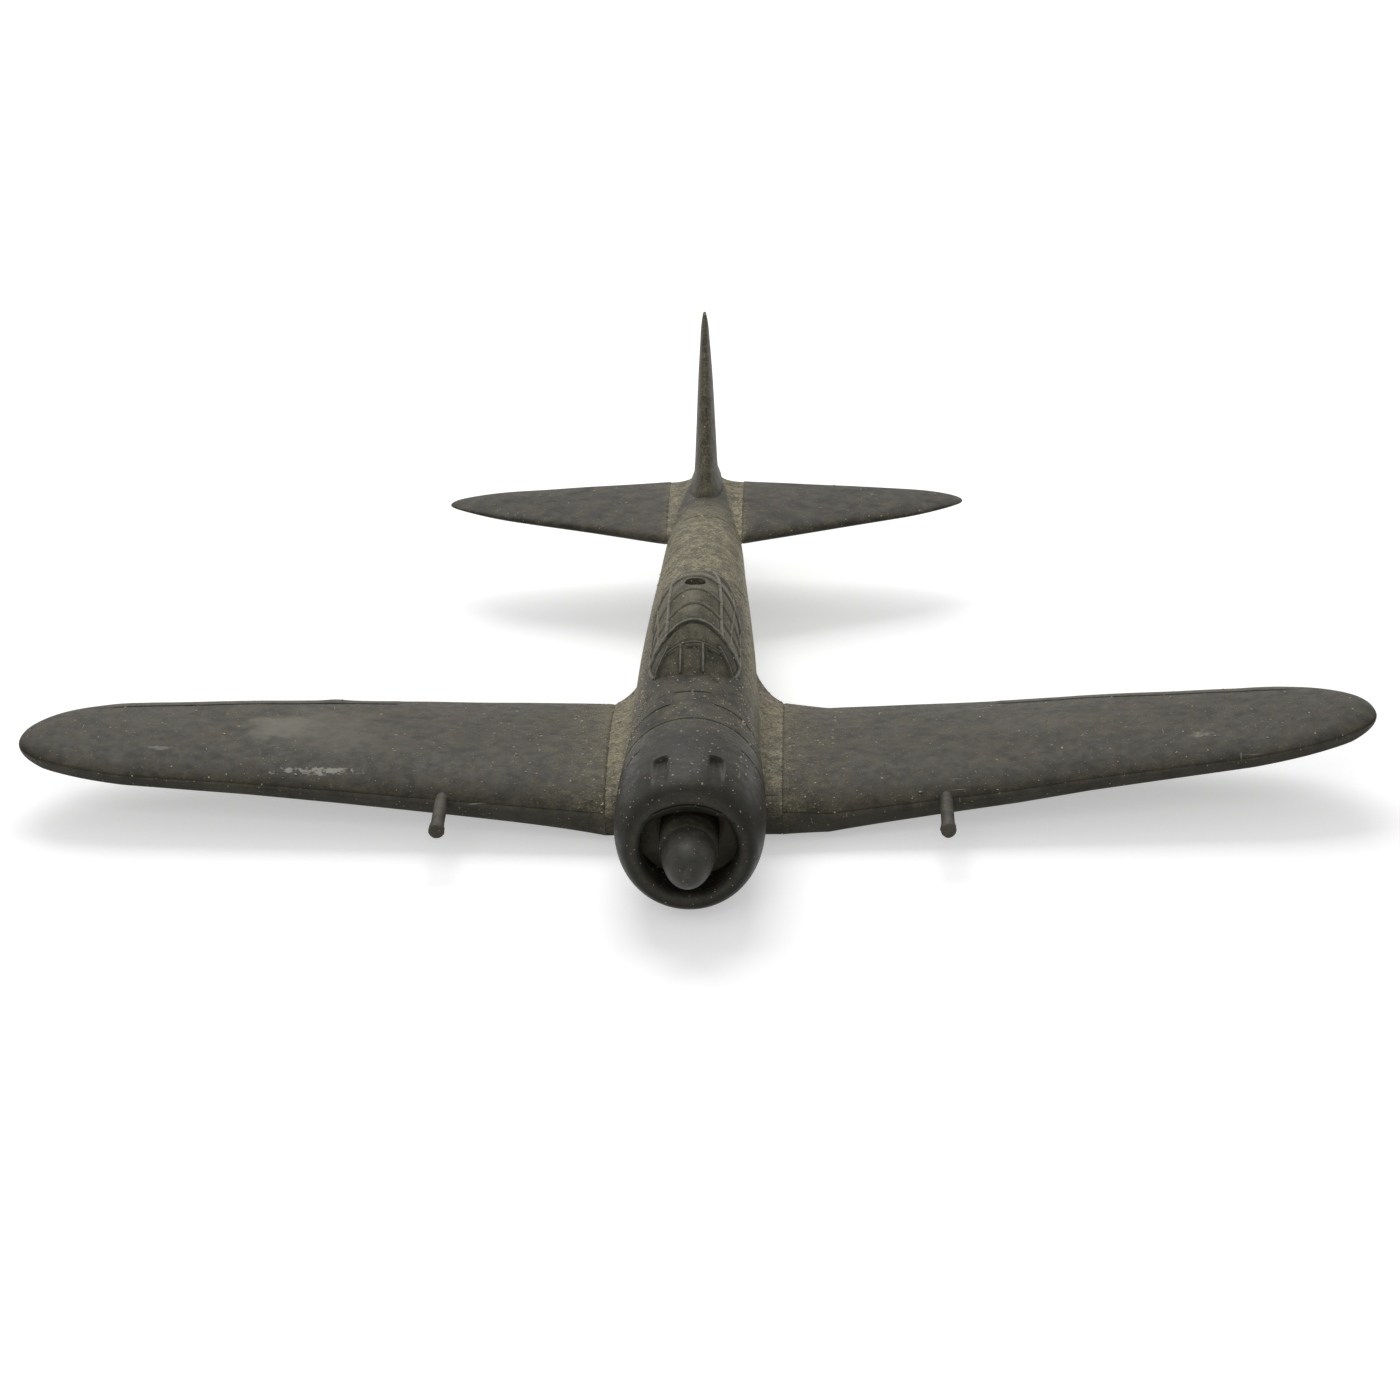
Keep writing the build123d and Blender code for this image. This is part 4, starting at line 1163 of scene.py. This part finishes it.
wing_plastic = aged_plastic("wing_black_plastic", (0.0165, 0.0161, 0.0124), (0.030, 0.0292, 0.0222),
                            dust_colour=(0.24, 0.212, 0.142), dust=0.30, specks=0.5, scratches=0.95, rough=0.46,
                            settled=((0.30, 0.265, 0.175), 0.80), worn=0.6, patches=[
    ((-42.5, 45.5, -1.0), (9.5, 9.0, 4), (0.135, 0.130, 0.100), 0.55, 0.5),
    ((-47.5, 45, -1.0), (5.5, 5.5, 4), (0.22, 0.212, 0.17), 0.45, 0.6),
    ((-38.5, 41, -1.0), (9.0, 4.2, 4), (0.105, 0.100, 0.078), 0.40, 0.45),
    ((-42.0, 34.2, -2.0), (4.0, 0.7, 3), (0.36, 0.35, 0.31), 0.9, 1.6),
    ((-60, 38.5, 0), (1.8, 0.6, 4), (0.30, 0.29, 0.25), 0.5, 0.7),
    ((-62, 46, 0), (8, 5, 4), (0.080, 0.077, 0.062), 0.35, 0.5),
    ((36, 46, 0), (10, 5, 4), (0.095, 0.091, 0.070), 0.42, 0.5),
    ((22, 44, 0), (7, 7, 4), (0.090, 0.085, 0.064), 0.35, 0.6),
    ((56.5, 38.5, 1.5), (1.6, 0.9, 3), (0.34, 0.32, 0.26), 0.6, 0.85)])
# the lower skins and belly are a lighter copy of the wing's plastic: painted light on the underside
lower_plastic_lightened = aged_plastic("lower_wing_black_plastic", (0.0215, 0.021, 0.0168), (0.038, 0.037, 0.0285),
                             dust_colour=(0.22, 0.195, 0.135), dust=0.3, specks=0.4, scratches=0.9, rough=0.48,
                             settled=((0.22, 0.19, 0.125), 0.3), worn=0.5)
body_plastic = aged_plastic("body_black_plastic", (0.024, 0.0237, 0.0185), (0.042, 0.041, 0.032),
                            dust_colour=(0.30, 0.270, 0.185), dust=0.36, specks=0.45, scratches=0.5, rough=0.5,
                            settled=((0.46, 0.412, 0.275), 1.0))
canopy_plastic = aged_plastic("canopy_black_plastic", (0.030, 0.0295, 0.023), (0.056, 0.054, 0.041),
                              dust_colour=(0.30, 0.272, 0.190), dust=0.48, specks=0.5, scratches=0.5, rough=0.5,
                              settled=((0.32, 0.288, 0.20), 0.62), worn=1.0)
cowl_plastic = aged_plastic("cowl_black_plastic", (0.0125, 0.0124, 0.0102), (0.0225, 0.0222, 0.0182),
                            dust_colour=(0.20, 0.179, 0.126), dust=0.13, specks=0.45, scratches=0.6, rough=0.44,
                            settled=((0.25, 0.222, 0.150), 0.35), worn=0.45,
                            # the patch lightens the shaded throat behind the opening: painted light
                            patches=[((0, 13.3, 0), (7.6, 4.6, 7.6), (0.10, 0.092, 0.068), 0.9, 0.15)])
spinner_plastic = aged_plastic("spinner_black_plastic", (0.025, 0.0252, 0.0222), (0.044, 0.0436, 0.038),
                               dust=0.20, specks=0.35, scratches=0.45, rough=0.42)
recess_plastic = aged_plastic("recess_black_plastic", (0.014, 0.0132, 0.0098), (0.028, 0.0265, 0.0195),
                              dust_colour=(0.22, 0.195, 0.14), dust=0.35, specks=0.7, scratches=0.3, rough=0.62,
                              # the patch lightens the shaded disc deep in the cowling: painted light
                              patches=[((0, 16.5, 0), (11, 3.0, 11), (0.20, 0.182, 0.134), 0.95, 0.2)])
barrel_plastic = aged_plastic("barrel_black_plastic", (0.038, 0.037, 0.029), (0.068, 0.0655, 0.052),
                              dust=0.36, specks=0.35, scratches=0.4, rough=0.5)
tail_plastic = aged_plastic("tail_black_plastic", (0.0165, 0.0161, 0.0124), (0.031, 0.0302, 0.023),
                            dust_colour=(0.25, 0.221, 0.150), dust=0.32, specks=0.4, scratches=0.8, rough=0.46,
                            settled=((0.28, 0.25, 0.17), 0.6), worn=0.6)


def crumb_material():
    """Pale tan crumbs of dust, each with its own tone."""
    material, w, shader = new_material("dust_crumb")
    where = w.node("ShaderNodeTexCoord").outputs["Object"]
    tone = w.noise(where, 2300.0, 2.0, 0.6)
    colour = w.mix(w.band(tone, 0.3, 0.7), (0.22, 0.185, 0.12, 1), (0.52, 0.46, 0.34, 1))
    w.feed(shader.inputs["Base Color"], colour)
    w.feed(shader.inputs["Roughness"], w.band(tone, 0.2, 0.8, 0.75, 0.95))
    shader.inputs["Specular IOR Level"].default_value = 0.2
    return material


# ---------------------------------------------------------------- the pieces

def body_grime(x, y, z):
    """Dirt in the body's engraved lines."""
    return np.clip(body_marks(np.abs(x), y, z) / 0.12, 0, 1) * (np.abs(x) < 9.5)


def settled_on_tail(x, y, z):
    """Dust in the tailplane's joint, thinning out along it."""
    aside = np.abs(x) - tail_joint_x
    return 0.9 * groove(aside, 0.5) + 0.4 * np.exp(-np.clip(aside, 0, 99) / 3.0)


def worn_on_tail(x, y, z):
    """The tailplane's rear edge is rubbed paler."""
    trail = tail_le_y + tail_chord - tail_te_rake * (np.abs(x) - tail_joint_x)
    return 0.6 * ease((y - trail + 0.4) / 0.4)


halves, uppers, tails = {}, {}, {}
for side, name in side_name.items():
    halves[side] = make_piece(f"body_{name}_half", body_half(side), body_plastic,
                              [f"fuselage_{name}_half"])
    paint(halves[side], settled_on_body, grime=body_grime)

for side, name in side_name.items():
    uppers[side] = make_piece(f"upper_wing_{name}", closed_skin(wing_grid(1, side), -0.05), wing_plastic,
                              [f"wing_upper_{name}"])
    paint(uppers[side], settled_on_wing, worn_at_rims, grime_and_nose_shade_on_wing)

lower_skins = [closed_skin(wing_grid(-1, side), 0.05) for side in (1, -1)]
lower = make_piece("lower_wing_and_belly", joined([belly(), *lower_skins]), lower_plastic_lightened,
                   ["wing_lower"])
paint(lower, settled_on_wing, worn_at_rims)

for side, name in side_name.items():
    tails[side] = make_piece(f"tail_plane_{name}", tailplane(side), tail_plastic,
                             [f"tailplane_{name}"])
    paint(tails[side], settled_on_tail, worn_on_tail)

hood = make_piece("canopy_moulding", canopy(), canopy_plastic, ["canopy"], sharp_degrees=50)
paint(hood, lambda x, y, z: 0.85 * ease((y - 44.0) / 1.0) * (0.55 + 0.45 * ease((np.abs(x) - 2.6) / 1.2)),
      lambda x, y, z: 0.95 * ease(bar_relief(on_glazing(x, y, z))[0] / 0.1),
      # painted shade in the ruts beside the canopy's bars
      lambda x, y, z: 0.45 * bar_relief(on_glazing(x, y, z))[1])

cowl = make_piece("cowling_barrel", cowling(), cowl_plastic, ["cowling"], sharp_degrees=50)


def settled_on_cowl(x, y, z):
    """Dust lies on the rear of the cowling's top."""
    return 0.8 * ease((y - 19) / 6) * ease((z + 2) / 6) + 0.08 * (z > 5) * (y < 19)


def cowl_grime_and_trough_shade(x, y, z):
    """Dirt in the flap line and in the joint with the body, and painted shade in the troughs."""
    flank = ease((z - flap_low) / 0.6) * ease((flap_high - z) / 0.6)
    trough = ease((y - trough_start) / 1.5) * ease((trough_end - y) / 0.5) * (z > 0)
    return (0.8 * groove(y - flap_line_y, 0.14) * flank + 0.9 * groove(y - cowl_rear_y, 0.2)
            # painted shade in the gun troughs
            + 0.8 * groove(np.abs(x) - trough_x, 0.75) * trough)


paint(cowl, settled_on_cowl, worn_and_lip_highlight_on_cowl, cowl_grime_and_trough_shade)

boss_front, boss_radius, disc_rim, disc_y, disc_back = 7.8, 3.2, 6.85, 15.5, 17.1
turned("disc_with_boss", [(disc_back, 0.0), (disc_back, disc_rim), (disc_y, disc_rim),
                          (disc_y, boss_radius + 0.5), (disc_y - 0.5, boss_radius), (boss_front + 0.25, boss_radius),
                          (boss_front + 0.06, boss_radius - 0.07), (boss_front, boss_radius - 0.25),
                          (boss_front, 1.4), (boss_front + 0.3, 1.05), (boss_front + 0.3, 0.0)],
       (0, 0, 0), recess_plastic, ["engine_disc"], around=160)

spinner_radius, spinner_base = 2.85, boss_front - 0.25
nose_run = np.linspace(0, 1, 44) ** 1.5
ogive = [(0.34 + (spinner_base - 0.34) * s, 0.10 + (spinner_radius - 0.10) * (1 - (1 - s) ** 2.15) ** 0.62)
         for s in nose_run]
turned("spinner_nose", [(-0.0, 0.0), (0.02, 0.05), (0.26, 0.075)] + ogive
       + [(spinner_base, spinner_radius - 0.3), (spinner_base, 1.0), (18.6, 1.0), (18.6, 0.0)],
       (0, 0, 0), spinner_plastic, ["spinner"], body="spinner", around=160, sharp_degrees=40)

barrel_overhang, barrel_socket = 8.4, 4.4
for side in (1, -1):
    at_y, at_z = wing_place(np.array(28.0), 0.0, 0.0, side)
    front = float(at_y) - barrel_overhang
    profile = [(0.0, 0.0), (0.0, 0.3), (0.02, 0.55), (0.12, 0.78), (0.35, 0.86), (0.8, 0.87), (1.2, 0.84),
               (1.7, 0.79), (2.1, 0.75)] + [(2.1 + 0.5 * k, 0.74) for k in range(1, 19)]
    profile += [(barrel_overhang + barrel_socket, 0.74), (barrel_overhang + barrel_socket, 0.0)]
    turned(f"barrel_{side_name[side]}", profile, (side * 28.0, front, float(at_z)), barrel_plastic,
           [f"cannon_barrel_{side_name[side]}"], around=40, roughness=0.34,
           rough_until=3.4, seed=side * 2 + 5, sharp_degrees=60)

collar = frame["nodes"]["shaft_collar"]
collar.data.materials.clear()
collar.data.materials.append(recess_plastic)

scatter_crumbs([*halves.values(), *uppers.values(), hood, cowl, *tails.values()], crumb_material())


# ---------------------------------------------------------------- stage, lights and camera

def seen_white(name, colour, glow):
    """A plain pale material that also shows white to the camera, keeping the shadow on it."""
    material = bpy.data.materials.new(name)
    material.use_nodes = True
    tree = material.node_tree
    tree.nodes.clear()
    w = Wiring(tree)
    out = w.node("ShaderNodeOutputMaterial")
    plain = w.node("ShaderNodeBsdfDiffuse")
    plain.inputs["Color"].default_value = (*colour, 1)
    lit = w.node("ShaderNodeEmission")
    w.feed(lit.inputs["Strength"], w.maths("MULTIPLY", w.seen(), glow))
    both = w.node("ShaderNodeAddShader")
    w.feed(both.inputs[0], plain.outputs[0])
    w.feed(both.inputs[1], lit.outputs[0])
    w.feed(out.inputs[0], both.outputs[0])
    return material


floor_mesh = bpy.data.meshes.new("floor")
floor_mesh.from_pydata([(-4, -4, 0), (4, -4, 0), (4, 4, 0), (-4, 4, 0)], [], [(0, 1, 2, 3)])
floor_mesh.materials.append(seen_white("pale_floor", (0.86, 0.86, 0.86), 0.42))
floor = add_object("floor", floor_mesh)

world = bpy.data.worlds.new("studio")
bpy.context.scene.world = world
world.use_nodes = True
world.node_tree.nodes.clear()
sky = Wiring(world.node_tree)
sky_out = sky.node("ShaderNodeOutputWorld")
sky_light = sky.node("ShaderNodeBackground")
sky.feed(sky_light.inputs["Strength"], sky.band(sky.seen(), 0.0, 1.0, 0.42, 1.0))
sky.feed(sky_out.inputs[0], sky_light.outputs[0])


def soft_lamp(name, place, aim, size, power):
    """A large soft lamp that looks at a point."""
    lamp = bpy.data.lights.new(name, "AREA")
    lamp.size = size
    lamp.energy = power
    holder = add_object(name, lamp)
    holder.location = place
    holder.rotation_euler = (Vector(aim) - Vector(place)).to_track_quat("-Z", "Y").to_euler()


soft_lamp("key_above_behind", (-0.08, 0.45, 0.60), (0, 0, 0), 0.5, 3.1)
soft_lamp("fill_front", (-0.12, -0.65, 0.36), (0, 0, 0), 0.5, 1.45)

camera_data = bpy.data.cameras.new("camera")
camera_data.lens = 123.4
camera_data.sensor_width = 36.0
camera = add_object("camera", camera_data)
height_angle, turn_angle, roll_angle = map(math.radians, (22.16, 1.56, -1.03))
camera_distance = 0.5592
target = Vector((0.10, -3.35, 5.05)) * MM
back = Vector((math.sin(turn_angle) * math.cos(height_angle), -math.cos(turn_angle) * math.cos(height_angle),
               math.sin(height_angle)))
right = (-back).cross(Vector((0, 0, 1))).normalized()
above = right.cross(-back)
right_rolled = right * math.cos(roll_angle) + above * math.sin(roll_angle)
above_rolled = above * math.cos(roll_angle) - right * math.sin(roll_angle)
turned_axes = Matrix((right_rolled, above_rolled, back)).transposed().to_4x4()
camera.matrix_world = Matrix.Translation(target + back * camera_distance) @ turned_axes
bpy.context.scene.camera = camera

bpy.context.scene.view_settings.view_transform = "Standard"

bpy.context.view_layer.update()
